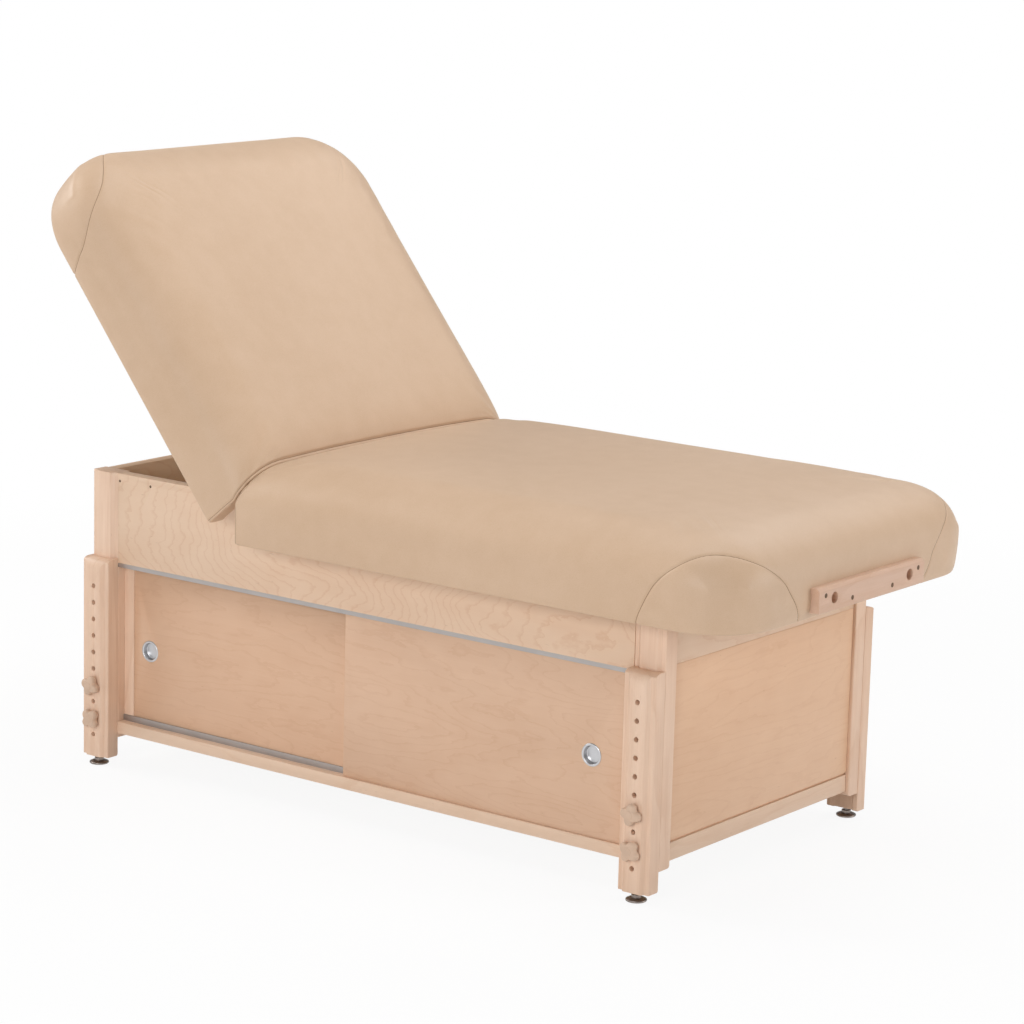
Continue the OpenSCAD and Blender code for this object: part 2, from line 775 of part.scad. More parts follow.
// Channel behind the front door, with a tall fin between the doors
module lower_track() {
    for (y = [fin_in, rear_lip_in])
        board([-span_x / 2, -face_y + y, ledge_z], [span_x, track_wall, lower_track_h], STEEL);
    board([-span_x / 2, -face_y + fin_in, ledge_z],
          [span_x, rear_lip_in + track_wall - fin_in, track_wall], STEEL);
}

// Sliding door with the hole for its pull
module door(x, inset, z, pull_x) {
    placed()
    color(PLY)
    difference() {
        translate([x, -face_y + inset, z]) cube([door_l, door_t, door_top_z - z]);
        translate([pull_x, -face_y + inset, pull_z])
        along_y(pull_cup_r + run_play, door_t + 2 * cut, -cut);
    }
}

module front_door() {
    door(front_door_x, front_door_in, front_door_z, front_pull_x);
}

module rear_door() {
    door(rear_door_x, rear_door_in, rear_door_z, rear_pull_x);
}

// Round cup that is set flush into a door, with its flange on the door's face
module pull(x, inset) {
    placed()
    translate([x, -face_y + inset, pull_z])
    rotate([-90, 0, 0])
    color("gainsboro")
    rotate_extrude($fn = ROUND)
    polygon([
        [0, pull_depth], [pull_cup_r - pull_wall, pull_depth],
        [pull_cup_r - pull_wall, -pull_flange_t / 2], [pull_cup_r - pull_wall + 1, -pull_flange_t],
        [pull_r - 1, -pull_flange_t], [pull_r, 0], [pull_cup_r, 0],
        [pull_cup_r, pull_depth + pull_wall], [0, pull_depth + pull_wall]
    ]);
}

module front_door_pull() {
    pull(front_pull_x, front_door_in);
}

module rear_door_pull() {
    pull(rear_pull_x, rear_door_in);
}

module hinge_crossbar() {
    board([crossbar_x, -face_y + apron_t, crossbar_z],
          [crossbar_t, cabinet_d - 2 * apron_t, leaf_z - crossbar_z], PLY);
}

// Deck with a straight end at the hinge and two rounded corners at its far end
module deck(len, corner) {
    half = top_half - skirt_t - soft_gap;
    far = len - skirt_t - soft_gap;
    r = corner - skirt_t - soft_gap + deck_corner_more;
    translate([0, 0, top_z])
    linear_extrude(deck_t) {
        translate([deck_setback, -half]) square([far - r - deck_setback, 2 * half]);
        translate([far - r - cut, -half + r]) square([r + cut, 2 * (half - r)]);
        for (side = [-1, 1])
            translate([far - r, side * (half - r)]) circle(r = r, $fn = ROUND);
    }
}

// Two side rails and one end rail under a deck, just inside the skirts
module under_rails(len, corner) {
    half = top_half - skirt_t - soft_gap;
    far = len - skirt_t - soft_gap;
    low = skirt_z + rail_short;
    start = deck_setback + rail_start;
    for (y = [-half, half - rail_t])
        translate([start, y, low]) cube([len - corner - start, rail_t, top_z - low]);
    translate([far - rail_t, -(top_half - corner), low])
    cube([rail_t, 2 * (top_half - corner), top_z - low]);
}

module seat_deck() {
    placed()
    color(PLY)
    difference() {
        translate([hinge_x, 0, 0]) deck(seat_l, seat_corner_r);
        deck_screw_places() screw_hole();
    }
}

module seat_rails() {
    placed()
    color(MAPLE)
    difference() {
        translate([hinge_x, 0, 0]) under_rails(seat_l, seat_corner_r);
        translate([rail_foot_x - rail_t - cut, 0, block_mid_z]) cradle_holes(rail_t + 2 * cut);
        block_screw_places() block_screw_hole();
    }
}

module seat_cushion() {
    window_gap = 2 * soft_gap;
    placed()
    color(VINYL)
    difference() {
        translate([hinge_x, 0, 0]) padding(seat_l, seat_corner_r);
        translate([foot_x - skirt_t - cut, -block_l / 2 - window_gap, block_z - window_gap])
        cube([skirt_t + 2 * cut, block_l + 2 * window_gap, block_h + 2 * window_gap]);
    }
}

module backrest_deck() {
    raised() color(PLY) deck(back_l, back_corner_r);
}

module backrest_rails() {
    raised() color(MAPLE) under_rails(back_l, back_corner_r);
}

module backrest_cushion() {
    raised() color(VINYL) padding(back_l, back_corner_r);
}

// Hinge leaf drawn from its axis along X, with the knuckles numbered in own
module hinge_leaf(own, lift) {
    pitch = hinge_l / 5;
    plate_x = knuckle_r + 1;
    difference() {
        union() {
            translate([plate_x, -hinge_l / 2, -leaf_t / 2 + lift])
            cube([leaf_w - plate_x, hinge_l, leaf_t]);
            for (k = own)
                translate([0, -hinge_l / 2 + k * pitch + knuckle_gap / 2, 0]) {
                    along_y(knuckle_r, pitch - knuckle_gap);
                    translate([0, 0, -leaf_t / 2 + lift]) cube([plate_x + 1, pitch - knuckle_gap, leaf_t]);
                }
        }
        along_y(hinge_pin_r + run_play, hinge_l + 2 * cut, -hinge_l / 2 - cut);
    }
}

module seat_hinge_leaf() {
    placed() translate([hinge_x, 0, hinge_z]) color(STEEL) hinge_leaf([0, 2, 4], 0);
}

module backrest_hinge_leaf() {
    raised(hinge_z) color(STEEL) hinge_leaf([1, 3], slide_gap);
}

module hinge_pin() {
    placed()
    translate([hinge_x, 0, hinge_z])
    color(STEEL)
    along_y(hinge_pin_r, hinge_l, -hinge_l / 2);
}

// Two ears with a pin through them, in the plane of the strut, with the pin at the origin
module ears(reach, r) {
    for (y = [-ear_gap / 2 - bracket_t, ear_gap / 2]) {
        along_y(r, bracket_t, y);
        translate([-r, y, 0]) cube([2 * r, bracket_t, reach]);
    }
    along_y(strut_pin_r, ear_gap + 2 * (bracket_t + pin_end), -ear_gap / 2 - bracket_t - pin_end);
}

// Bracket that reaches up to its plate from the pin
module bracket(reach) {
    ears(reach, lower_eye_r + 1);
    translate([-plate_l / 2, -plate_w / 2, reach - bracket_t]) cube([plate_l, plate_w, bracket_t]);
}

module strut_lower_bracket() {
    placed()
    translate([hinge_x - lower_pin_x, 0, hinge_z - lower_pin_z])
    rotate([0, 90, 0])
    color(DARK)
    bracket(crossbar_x - hinge_x + lower_pin_x);
}

module strut_upper_bracket() {
    raised(hinge_z)
    translate([upper_pin_x, 0, -upper_pin_z])
    color(DARK)
    bracket(upper_pin_z + leaf_t / 2 + slide_gap);
}

// Draws a strut piece along +Z from the lower pin
module on_strut() {
    placed()
    translate([hinge_x - lower_pin_x, 0, hinge_z - lower_pin_z])
    rotate([0, strut_angle, 0])
    children();
}

module strut_cylinder() {
    start = lower_eye_r + cylinder_neck;
    mouth = cylinder_l - gland_h - cut;
    on_strut()
    color(DARK)
    difference() {
        union() {
            along_y(lower_eye_r, eye_t, -eye_t / 2);
            cylinder(r = rod_r, h = start + cut, $fn = FINE);
            translate([0, 0, start]) cylinder(r = cylinder_r, h = cylinder_l - start, $fn = FINE);
        }
        along_y(strut_pin_r + run_play, eye_t + 2 * cut, -eye_t / 2 - cut);
        translate([0, 0, start + gland_h])
        cylinder(r = cylinder_r - cylinder_wall, h = cylinder_l - start - 2 * gland_h, $fn = FINE);
        translate([0, 0, mouth])
        cylinder(r = rod_r + run_play, h = gland_h + 2 * cut, $fn = FINE);
    }
}

module strut_rod() {
    piston_z = cylinder_l - gland_h - piston_h - piston_gap;
    on_strut()
    color(STEEL)
    difference() {
        union() {
            translate([0, 0, piston_z])
            cylinder(r = cylinder_r - cylinder_wall - 2 * run_play, h = piston_h, $fn = FINE);
            translate([0, 0, piston_z])
            cylinder(r = rod_r, h = strut_raised_l - piston_z - strut_pin_r - eye_play, $fn = FINE);
            translate([0, 0, strut_raised_l]) along_y(upper_eye_r, eye_t, -eye_t / 2);
        }
        translate([0, 0, strut_raised_l])
        along_y(strut_pin_r + eye_play, eye_t + 2 * cut, -eye_t / 2 - cut);
    }
}

module cradle_holes(len) {
    for (side = [-1, 1])
        translate([0, side * cradle_spacing / 2, 0])
        rotate([0, 90, 0])
        cylinder(r = cradle_r, h = len, $fn = FINE);
}

module block_screw_places() {
    for (s = block_screws)
        translate([foot_x + block_proud, s.x * block_l, block_z + s.y * block_h])
        rotate([0, 90, 0])
        children();
}

module block_screw_hole(play = run_play) {
    translate([0, 0, play])
    screw(screw_r + play, screw_head_r + play, block_screw_l + 2 * play);
}

module cradle_block() {
    depth = foot_x + block_proud - rail_foot_x;
    placed()
    color(MAPLE)
    difference() {
        translate([rail_foot_x, block_l / 2, block_z])
        rotate([90, 0, 0])
        linear_extrude(block_l)
        polygon([
            [0, 0], [depth, 0], [depth, block_h - block_bevel],
            [depth - block_bevel, block_h], [0, block_h]
        ]);
        translate([rail_foot_x - cut, 0, block_mid_z]) cradle_holes(depth + 2 * cut);
        block_screw_places() block_screw_hole();
    }
}

module wood_screws() {
    placed()
    color(STEEL) {
        deck_screw_places() screw();
        for (side = [FRONT, BACK]) apron_screw_places(side) facing(side) apron_screw();
        block_screw_places() block_screw_hole(0);
    }
}

corner_post(HEAD, FRONT);  // front_head_post
corner_post(FOOT, FRONT);  // front_foot_post
corner_post(HEAD, BACK);  // back_head_post
corner_post(FOOT, BACK);  // back_foot_post
height_leg(HEAD, FRONT);  // front_head_leg
height_leg(FOOT, FRONT);  // front_foot_leg
height_leg(HEAD, BACK);  // back_head_leg
height_leg(FOOT, BACK);  // back_foot_leg
knob(HEAD, FRONT, upper_hole_z, 20);  // front_head_upper_knob
knob(HEAD, FRONT, lower_hole_z, 45);  // front_head_lower_knob
knob(FOOT, FRONT, upper_hole_z, 10);  // front_foot_upper_knob
knob(FOOT, FRONT, lower_hole_z, 32);  // front_foot_lower_knob
knob(HEAD, BACK, upper_hole_z, 55);  // back_head_upper_knob
knob(HEAD, BACK, lower_hole_z, 15);  // back_head_lower_knob
knob(FOOT, BACK, upper_hole_z, 70);  // back_foot_upper_knob
knob(FOOT, BACK, lower_hole_z, 40);  // back_foot_lower_knob
glide(HEAD, FRONT);  // front_head_glide
glide(FOOT, FRONT);  // front_foot_glide
glide(HEAD, BACK);  // back_head_glide
glide(FOOT, BACK);  // back_foot_glide
post_inserts();
leg_inserts();
front_apron();
back_apron();
head_apron();
foot_apron();
head_panel();
foot_panel();
back_panel();
cabinet_floor();
front_bottom_rail();
back_bottom_rail();
head_bottom_rail();
foot_bottom_rail();
head_stile();
foot_stile();
upper_track();
lower_track();
front_door();
rear_door();
front_door_pull();
rear_door_pull();
hinge_crossbar();
seat_deck();
seat_rails();
seat_cushion();
backrest_deck();
backrest_rails();
backrest_cushion();
seat_hinge_leaf();
backrest_hinge_leaf();
hinge_pin();
strut_lower_bracket();
strut_upper_bracket();
strut_cylinder();
strut_rod();
cradle_block();
wood_screws();
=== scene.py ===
"""Massage table: a maple cabinet on adjustable legs, with a padded seat and a tilting backrest.

The file is laid out as an add-on and is run as a script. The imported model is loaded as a
fixed frame, in metres: X runs towards the foot end, Y away from the doors, Z up from the floor.
"""

import functools
import json
import math

import bmesh
import bpy
import numpy as np
from bpy.props import FloatProperty, FloatVectorProperty, PointerProperty
from mathutils import Matrix, Vector

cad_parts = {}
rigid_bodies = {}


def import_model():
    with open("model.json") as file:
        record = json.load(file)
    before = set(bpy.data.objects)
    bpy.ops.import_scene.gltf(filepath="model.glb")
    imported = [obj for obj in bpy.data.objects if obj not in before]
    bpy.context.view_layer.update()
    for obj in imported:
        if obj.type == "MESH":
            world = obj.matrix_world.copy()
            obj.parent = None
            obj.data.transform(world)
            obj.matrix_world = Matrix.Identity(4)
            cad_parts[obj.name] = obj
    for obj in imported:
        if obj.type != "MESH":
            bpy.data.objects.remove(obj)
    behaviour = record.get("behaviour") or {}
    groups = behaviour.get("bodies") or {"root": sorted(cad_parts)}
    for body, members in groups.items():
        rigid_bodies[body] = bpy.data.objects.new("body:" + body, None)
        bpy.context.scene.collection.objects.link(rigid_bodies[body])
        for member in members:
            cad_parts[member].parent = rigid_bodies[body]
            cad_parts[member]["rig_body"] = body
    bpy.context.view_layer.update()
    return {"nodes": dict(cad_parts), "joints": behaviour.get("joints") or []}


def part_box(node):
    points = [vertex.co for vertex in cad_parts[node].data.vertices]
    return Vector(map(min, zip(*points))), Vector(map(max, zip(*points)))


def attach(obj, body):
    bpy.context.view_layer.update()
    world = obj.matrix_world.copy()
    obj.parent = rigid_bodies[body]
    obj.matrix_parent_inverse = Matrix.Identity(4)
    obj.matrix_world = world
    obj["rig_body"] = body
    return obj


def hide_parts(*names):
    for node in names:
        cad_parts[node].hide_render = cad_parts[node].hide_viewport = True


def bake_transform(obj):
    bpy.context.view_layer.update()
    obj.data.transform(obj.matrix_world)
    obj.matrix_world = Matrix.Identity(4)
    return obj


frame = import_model()

bl_info = {
    "name": "Massage table",
    "version": (1, 0, 0),
    "blender": (4, 5, 0),
    "location": "3D View > Sidebar > Massage table",
    "description": "Dresses the packed massage table with upholstery, wood, metal and plastic",
    "category": "Object",
}

MM = 0.001
PLY = 0.0030  # Thickness of one layer of the plywood
CORNERS = [f"{side}_{end}" for side in ("front", "back") for end in ("head", "foot")]

TILT_JOINT = next(j for j in frame["joints"] if j["name"] == "backrest_tilt")
HINGE = Vector(TILT_JOINT["pos_m"])
TILT = math.radians(TILT_JOINT["range_deg"][1])
SEAT_LOW, SEAT_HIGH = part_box("seat_cushion")
DECK_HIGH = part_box("seat_deck")[1]


def tone(red, green, blue):
    """Scene colour of a screen colour given as 0 to 255: each share is raised by the
    usual screen curve."""
    shares = np.array([red, green, blue]) / 255
    curved = np.where(shares <= 0.04045, shares / 12.92, ((shares + 0.055) / 1.055) ** 2.4)
    return tuple(float(c) for c in curved)


def length_property(name, description, default):
    return FloatProperty(name=name, description=description, default=default, min=0.0,
                         unit="LENGTH", precision=4)


def colour_property(name, description, default):
    return FloatVectorProperty(name=name, description=description, default=default, size=3,
                               min=0.0, max=1.0, subtype="COLOR")


class UpholsterySettings(bpy.types.PropertyGroup):
    """Sizes and looks of the two padded sections."""
    seat_length: length_property(
        "Seat length", "From the hinge axis to the foot end", SEAT_HIGH.x - HINGE.x)
    back_length: length_property(
        "Backrest length", "From the hinge axis to the head end", 0.733)
    half_width: length_property(
        "Half width", "From the middle to the outside of a skirt", SEAT_HIGH.y)
    skirt_foot: length_property(
        "Skirt edge", "Height of the skirts' lower edge above the floor", SEAT_LOW.z)
    deck_top: length_property(
        "Deck top", "Height of the deck's top above the floor", DECK_HIGH.z)
    foam: length_property("Foam", "Height of the padding above the deck", 0.078)
    skirt: length_property("Skirt thickness", "Thickness of a padded skirt", 0.020)
    seat_corner: length_property("Seat corner", "Corner radius of the seat", 0.120)
    back_corner: length_property("Backrest corner", "Corner radius of the backrest", 0.145)
    edge_round: length_property("Edge round", "Width of the round along the top edge", 0.102)
    shoulder_drop: length_property(
        "Shoulder drop", "How far below the deck's top the round begins", 0.012)
    setback: length_property(
        "Setback", "How far the pads' hinge ends stay back from the hinge axis", 0.005)
    skirt_belly: length_property(
        "Skirt belly", "How far a skirt stands out at its fullest", 0.006)
    crown: length_property("Crown", "Rise of the top towards its middle", 0.006)
    crease_dip: length_property("Crease dip", "Dip of the top into the crease", 0.008)
    side_draw: length_property("Side draw", "Draw of the long sides at their middle", 0.003)
    tuck: length_property(
        "Tuck", "How much smaller than its final size a pad is before it swells", 0.003)
    swell: length_property("Swell", "Furthest that the cloth may move when it swells", 0.004)
    dart_rise: length_property("Dart rise", "Height of the corner darts over the hem", 0.144)
    dart_shift: length_property(
        "Dart shift", "How far a dart's middle lies towards the long side", 0.019)
    dart_side: length_property("Dart side", "Reach of a dart along the long side", 0.147)
    dart_end: length_property("Dart end", "Reach of a dart along the end", 0.193)
    vinyl: colour_property("Vinyl", "Colour of the vinyl", tone(213, 183, 155))
    vinyl_deep: colour_property("Vinyl shade", "Colour in the vinyl's grain",
                                tone(202, 170, 139))
    grain: length_property("Grain", "Size of the vinyl's grain", 0.0011)


def wood_colours(**kinds):
    """A light colour and a colour of the grain for each kind of wood."""
    made = {}
    for key, (what, light, dark) in kinds.items():
        name = what.capitalize()
        made[key] = colour_property(name, "Light colour of the " + what, tone(*light))
        made[key + "_line"] = colour_property(name + " grain", "Grain of the " + what,
                                              tone(*dark))
    return made


class WoodSettings(bpy.types.PropertyGroup):
    """Colours of the wooden pieces, and how far their edges are eased."""
    edge_ease: length_property("Edge ease", "Radius of the wooden pieces' edges", 0.0009)
    __annotations__.update(wood_colours(
        post=("posts and legs", (239, 209, 185), (217, 177, 147)),
        rail=("bottom rails", (234, 206, 182), (216, 180, 150)),
        apron=("aprons", (232, 205, 179), (209, 166, 133)),
        door=("front door and back panel", (230, 196, 168), (206, 162, 129)),
        panel=("end panels", (235, 198, 165), (211, 163, 127)),
        rear=("rear door", (228, 191, 161), (204, 158, 124)),
        # The rear door's colours are the door colours made darker: painted shade for the door
        # that stands back behind the front door
        block=("cradle block", (220, 185, 162), (202, 161, 132)),
        plywood=("birch plywood", (226, 200, 160), (178, 138, 96)),
        softwood=("frame rails", (226, 196, 150), (186, 138, 86))))


class HardwareSettings(bpy.types.PropertyGroup):
    """Sizes and colours of knobs, glides, pulls, tracks, hinge and strut."""
    knob: colour_property("Knobs", "Colour of the plastic knobs", tone(216, 186, 162))
    knob_reach: length_property("Knob reach", "Radius over a knob's lobes", 0.020)
    knob_waist: length_property("Knob waist", "Radius between a knob's lobes", 0.0138)
    lobe: length_property("Lobe", "Radius of one lobe of a knob", 0.0082)
    knob_round: length_property("Knob round", "Round of the knob's edges", 0.003)
    thread_pitch: length_property("Thread pitch", "Pitch of the studs' threads", 0.00125)
    steel: colour_property("Steel", "Colour of the glides", tone(150, 140, 134))
    aluminium: colour_property("Aluminium", "Colour of the door tracks", tone(184, 178, 175))
    chrome: colour_property("Chrome", "Colour of the door pulls", tone(206, 206, 208))
    brass: colour_property("Brass", "Colour of the inserts", tone(196, 160, 92))
    paint: colour_property("Strut paint", "Colour of the strut's cylinder", tone(34, 34, 36))


class StageSettings(bpy.types.PropertyGroup):
    """Camera, floor and lamps."""
    azimuth: FloatProperty(name="Azimuth", description="Camera's turn round the table",
                           default=math.radians(37.00), subtype="ANGLE")
    elevation: FloatProperty(name="Elevation", description="Camera's angle over the horizon",
                             default=math.radians(11.58), subtype="ANGLE")
    roll: FloatProperty(name="Roll", description="Camera's roll",
                        default=math.radians(1.53), subtype="ANGLE")
    lens: FloatProperty(name="Lens", description="Focal length in millimetres on a 36 mm sensor",
                        default=118.68, min=1.0, subtype="DISTANCE_CAMERA")
    place: FloatVectorProperty(name="Camera", description="Place of the camera",
                               default=(3.63706, -4.77467, 1.76178), size=3,
                               subtype="TRANSLATION", unit="LENGTH")
    floor: colour_property("Floor", "Colour of the floor", (0.90, 0.90, 0.90))
    ambient: FloatProperty(name="Ambient", description="Strength of the light from all round",
                           default=0.13, min=0.0)
    reflected: FloatProperty(name="Reflected", description="Strength of the mirrored backdrop",
                             default=0.30, min=0.0)
    lamps: FloatProperty(name="Lamps", description="Strength of the soft boxes",
                         default=1.0, min=0.0)


# Materials


class Value:
    """A socket of a material. Arithmetic on it adds Math nodes."""

    def __init__(self, finish, socket):
        self.finish, self.socket = finish, socket

    def math(self, operation, *terms):
        return self.finish.add("ShaderNodeMath", {"operation": operation},
                               dict(enumerate(terms)))

    def __add__(self, other):
        return self.math("ADD", self, other)

    def __sub__(self, other):
        return self.math("SUBTRACT", self, other)

    def __rsub__(self, other):
        return self.math("SUBTRACT", other, self)

    def __mul__(self, other):
        return self.math("MULTIPLY", self, other)

    def __abs__(self):
        return self.math("ABSOLUTE", self)

    __radd__ = __add__
    __rmul__ = __mul__

    def step(self, low, high):
        """0 below low, 1 above high, and an S-shaped rise between them."""
        return self.finish.add(
            "ShaderNodeMapRange", {"interpolation_type": "SMOOTHSTEP"},
            {"Value": self, "From Min": low, "From Max": high})


class Nodes:
    """The nodes of a material or of the world."""

    def __init__(self, tree):
        self.tree = tree
        tree.nodes.clear()

    def add(self, kind, settings=None, inputs=None, out=0):
        """Adds a node, sets its settings, then its sockets, and returns one output."""
        node = self.tree.nodes.new(kind)
        for key, value in (settings or {}).items():
            if key == "stops":
                ramp = node.color_ramp
                while len(ramp.elements) < len(value):
                    ramp.elements.new(1.0)
                for element, (place, colour) in zip(ramp.elements, value):
                    element.position, element.color = place, (*colour, 1.0)
            else:
                setattr(node, key, value)
        for key, value in (inputs or {}).items():
            socket = node.inputs[key]
            if isinstance(value, Value):
                self.tree.links.new(value.socket, socket)
            elif isinstance(value, tuple) and len(value) < len(socket.default_value):
                socket.default_value = (*value, 1.0)
            else:
                socket.default_value = value
        return Value(self, node.outputs[out])

    def close(self, shader, kind="ShaderNodeOutputMaterial"):
        """Links a shader to a new output node."""
        self.tree.links.new(shader.socket, self.tree.nodes.new(kind).inputs["Surface"])


class Finish(Nodes):
    """One material and its nodes."""

    def __init__(self, name):
        self.material = bpy.data.materials.new(name)
        self.material.use_nodes = True
        super().__init__(self.material.node_tree)
        self.object_place = self.add("ShaderNodeTexCoord", out="Object")

    def vector(self, operation, first, second):
        return self.add("ShaderNodeVectorMath", {"operation": operation},
                        {0: first, 1: second})

    def parts(self, vector):
        """The three numbers of a vector."""
        first = self.add("ShaderNodeSeparateXYZ", None, {0: vector})
        return [Value(self, socket) for socket in first.socket.node.outputs]

    def mapped(self, scale, turn=(0.0, 0.0, 0.0)):
        """Object coordinates, turned and then scaled along each axis."""
        turned = self.add("ShaderNodeMapping", {"vector_type": "POINT"},
                          {"Vector": self.object_place, "Rotation": turn})
        return self.vector("MULTIPLY", turned, scale)

    def noise(self, place, scale, detail=2.0, rough=0.5, distortion=0.0):
        return self.add("ShaderNodeTexNoise", None,
                        {"Vector": place, "Scale": scale, "Detail": detail,
                         "Roughness": rough, "Distortion": distortion})

    def mix(self, first, second, share):
        return self.add("ShaderNodeMix", {"data_type": "RGBA"},
                        {0: share, 6: first, 7: second}, out=2)

    def bump(self, height, depth, strength=1.0, under=None):
        """Normal of a surface that rises by height times depth in metres."""
        inputs = {"Height": height, "Distance": depth, "Strength": strength}
        if under:
            inputs["Normal"] = under
        return self.add("ShaderNodeBump", None, inputs)

    def surface(self, **inputs):
        """Closes the material with a Principled shader; underscores stand for spaces."""
        shader = self.add("ShaderNodeBsdfPrincipled", None,
                          {key.replace("_", " "): value for key, value in inputs.items()})
        self.close(shader)
        return self.material


def vinyl_finish(settings):
    """Upholstery vinyl: pebbled grain from cells and noise, soft changes of tone, and painted
    shade along the sewn lines: a dark line from the attribute that holds the distance to the
    nearest seam."""
    f = Finish("vinyl")
    cells = f.add("ShaderNodeTexVoronoi", {"feature": "SMOOTH_F1"},
                  {"Vector": f.object_place, "Scale": 1.0 / settings.grain, "Smoothness": 0.6})
    fine = f.noise(f.object_place, 2200.0, 3.0, 0.6)
    broad = f.noise(f.object_place, 3.5, 3.0, 0.5)
    cloud = f.noise(f.object_place, 28.0, 4.0, 0.6)
    seam = abs(f.add("ShaderNodeAttribute", {"attribute_name": "seam"}, out="Fac"))
    line = 1.0 - seam.step(0.25, 0.8)
    beside = 1.0 - seam.step(0.8, 3.0)
    shade = (cells * 0.5 + fine * 0.35 + cloud * 0.5 + broad * 0.6 - 0.5).step(0.05, 1.0)
    skin = f.mix(tuple(settings.vinyl), tuple(settings.vinyl_deep), shade)
    # Painted shade: a dark brown line where the seams' valleys and the crease at the hinge end
    # would hold shadow
    seam_shaded_vinyl = f.mix(skin, tone(120, 84, 54), line * 0.75)
    grain = f.bump(cells + fine * 0.4, 0.00012, 0.35)
    normal = f.bump(beside, -0.0006, 0.6, grain)
    return f.surface(Base_Color=seam_shaded_vinyl, Roughness=0.40 + fine * 0.14 + line * 0.2,
                     Normal=normal, Specular_IOR_Level=0.42, Sheen_Weight=0.06,
                     Sheen_Roughness=0.45)


def wood_finish(name, light, dark, along, figure, line, fibre, gloss, seed):
    """Flat-sawn maple. Its growth lines are level lines of a slow field that is drawn out
    along the board and bent by ripples: figure holds the field's two scales, the number of
    lines, the ripples' strength and the lines per metre along the board. Fibres and streaks
    are noise drawn out further."""
    f = Finish(name)
    turns = {"X": (0.0, 0.0, 0.0), "Y": (0.0, 0.0, math.pi / 2), "Z": (0.0, math.pi / 2, 0.0)}
    board = f.mapped((1.0, 1.0, 1.0), turns[along])
    shifted = f.vector("ADD", board, (seed, seed * 1.7, seed * 0.6))

    def drawn(length, width):
        return f.vector("MULTIPLY", shifted, (length, width, width))

    length, width, lines, ripples, drift = figure
    slow = f.noise(drawn(length, width), 1.0, 1.5, 0.45, 0.25)
    ripple = f.noise(drawn(length * 9.0, width * 6.0), 1.0, 3.0, 0.6)
    level = slow * lines + ripple * ripples + f.parts(shifted)[0] * drift
    field = level.math("FRACT", level)
    late = field.step(0.70, 0.97) * (1.0 - field.step(0.97, 1.0))
    fibres = f.noise(drawn(12.0, 620.0), 1.0, 2.0, 0.6)
    streaks = f.noise(drawn(2.6, 85.0), 1.0, 3.0, 0.6)
    chatoyance = f.noise(drawn(16.0, 26.0), 1.0, 2.0, 0.5)
    clouds = f.noise(drawn(1.8, 6.0), 1.0, 2.0, 0.5)
    flecks = f.noise(drawn(60.0, 330.0), 1.0, 1.0).step(0.74, 0.80)
    share = late * line + (fibres - 0.5) * fibre + (streaks - 0.5) * (fibre * 1.1) \
        + (clouds - 0.5) * 0.45 + (chatoyance - 0.5) * 0.30 + 0.34
    body = f.mix(light, dark, share.step(-0.15, 1.15))
    flecked = f.mix(body, tuple(c * 0.6 for c in dark), flecks * 0.22)
    height = fibres * 0.6 + late * -0.4 + flecks * -0.6
    return f.surface(Base_Color=flecked, Roughness=gloss + fibres * 0.12 + flecks * 0.2,
                     Normal=f.bump(height, 0.00006, 0.4), Specular_IOR_Level=0.4,
                     Coat_Weight=0.15, Coat_Roughness=0.30)


def plywood_finish(name, light, dark, tilt=0.0):
    """Birch plywood: fine figure on its faces, and thin layers through its thickness. Tilt
    turns them to a board that lies at an angle."""
    f = Finish(name)
    turned = f.mapped((1.0, 1.0, 1.0), (0.0, tilt, 0.0))
    depth = f.parts(turned)[2] * (1.0 / PLY)
    plies = depth.math("PINGPONG", depth, 1.0).step(0.25, 0.75)
    figure = f.noise(f.vector("MULTIPLY", turned, (4.0, 60.0, 60.0)), 1.0, 4.0, 0.6, 0.4)
    fibres = f.noise(turned, 420.0, 2.0, 0.5)
    facing = f.add("ShaderNodeMapping", {"vector_type": "NORMAL"},
                   {"Vector": f.add("ShaderNodeTexCoord", out="Normal"),
                    "Rotation": (0.0, tilt, 0.0)})
    flat = abs(f.parts(facing)[2]).step(0.6, 0.8)
    share = (plies * (1.0 - flat) * 0.7 + figure * 0.45 + fibres * 0.12 - 0.1).step(0.0, 1.0)
    return f.surface(Base_Color=f.mix(light, dark, share), Roughness=0.6 + fibres * 0.15,
                     Normal=f.bump(fibres + plies * 0.5, 0.0001, 0.4))


def metal_finish(name, colour, rough, streak=0.0, along=(1.0, 1.0, 1.0), metallic=1.0):
    """Metal with fine drawn lines and faint blotches in its gloss."""
    f = Finish(name)
    drawn = f.noise(f.mapped(along), 900.0, 2.0, 0.6)
    blotch = f.noise(f.object_place, 40.0, 3.0, 0.5)
    share = (drawn * 0.6 + blotch * 0.6).step(0.35, 0.85)
    body = f.mix(tuple(c * (1.0 - streak) for c in colour), colour, share)
    return f.surface(Base_Color=body, Metallic=metallic,
                     Roughness=rough + drawn * 0.10 + blotch * 0.06,
                     Normal=f.bump(drawn, 0.00003, 0.3))


def plastic_finish(name, colour, rough, grain=0.25):
    """Moulded plastic with a fine spark-eroded grain."""
    f = Finish(name)
    speckle = f.noise(f.object_place, 1500.0, 2.0, 0.6)
    cloud = f.noise(f.object_place, 60.0, 3.0, 0.5)
    share = (speckle * 0.4 + cloud * 0.7).step(0.2, 0.8)
    body = f.mix(tuple(c * 0.86 for c in colour), colour, share)
    return f.surface(Base_Color=body, Roughness=rough + speckle * 0.12,
                     Normal=f.bump(speckle, 0.00005, grain), Specular_IOR_Level=0.4)


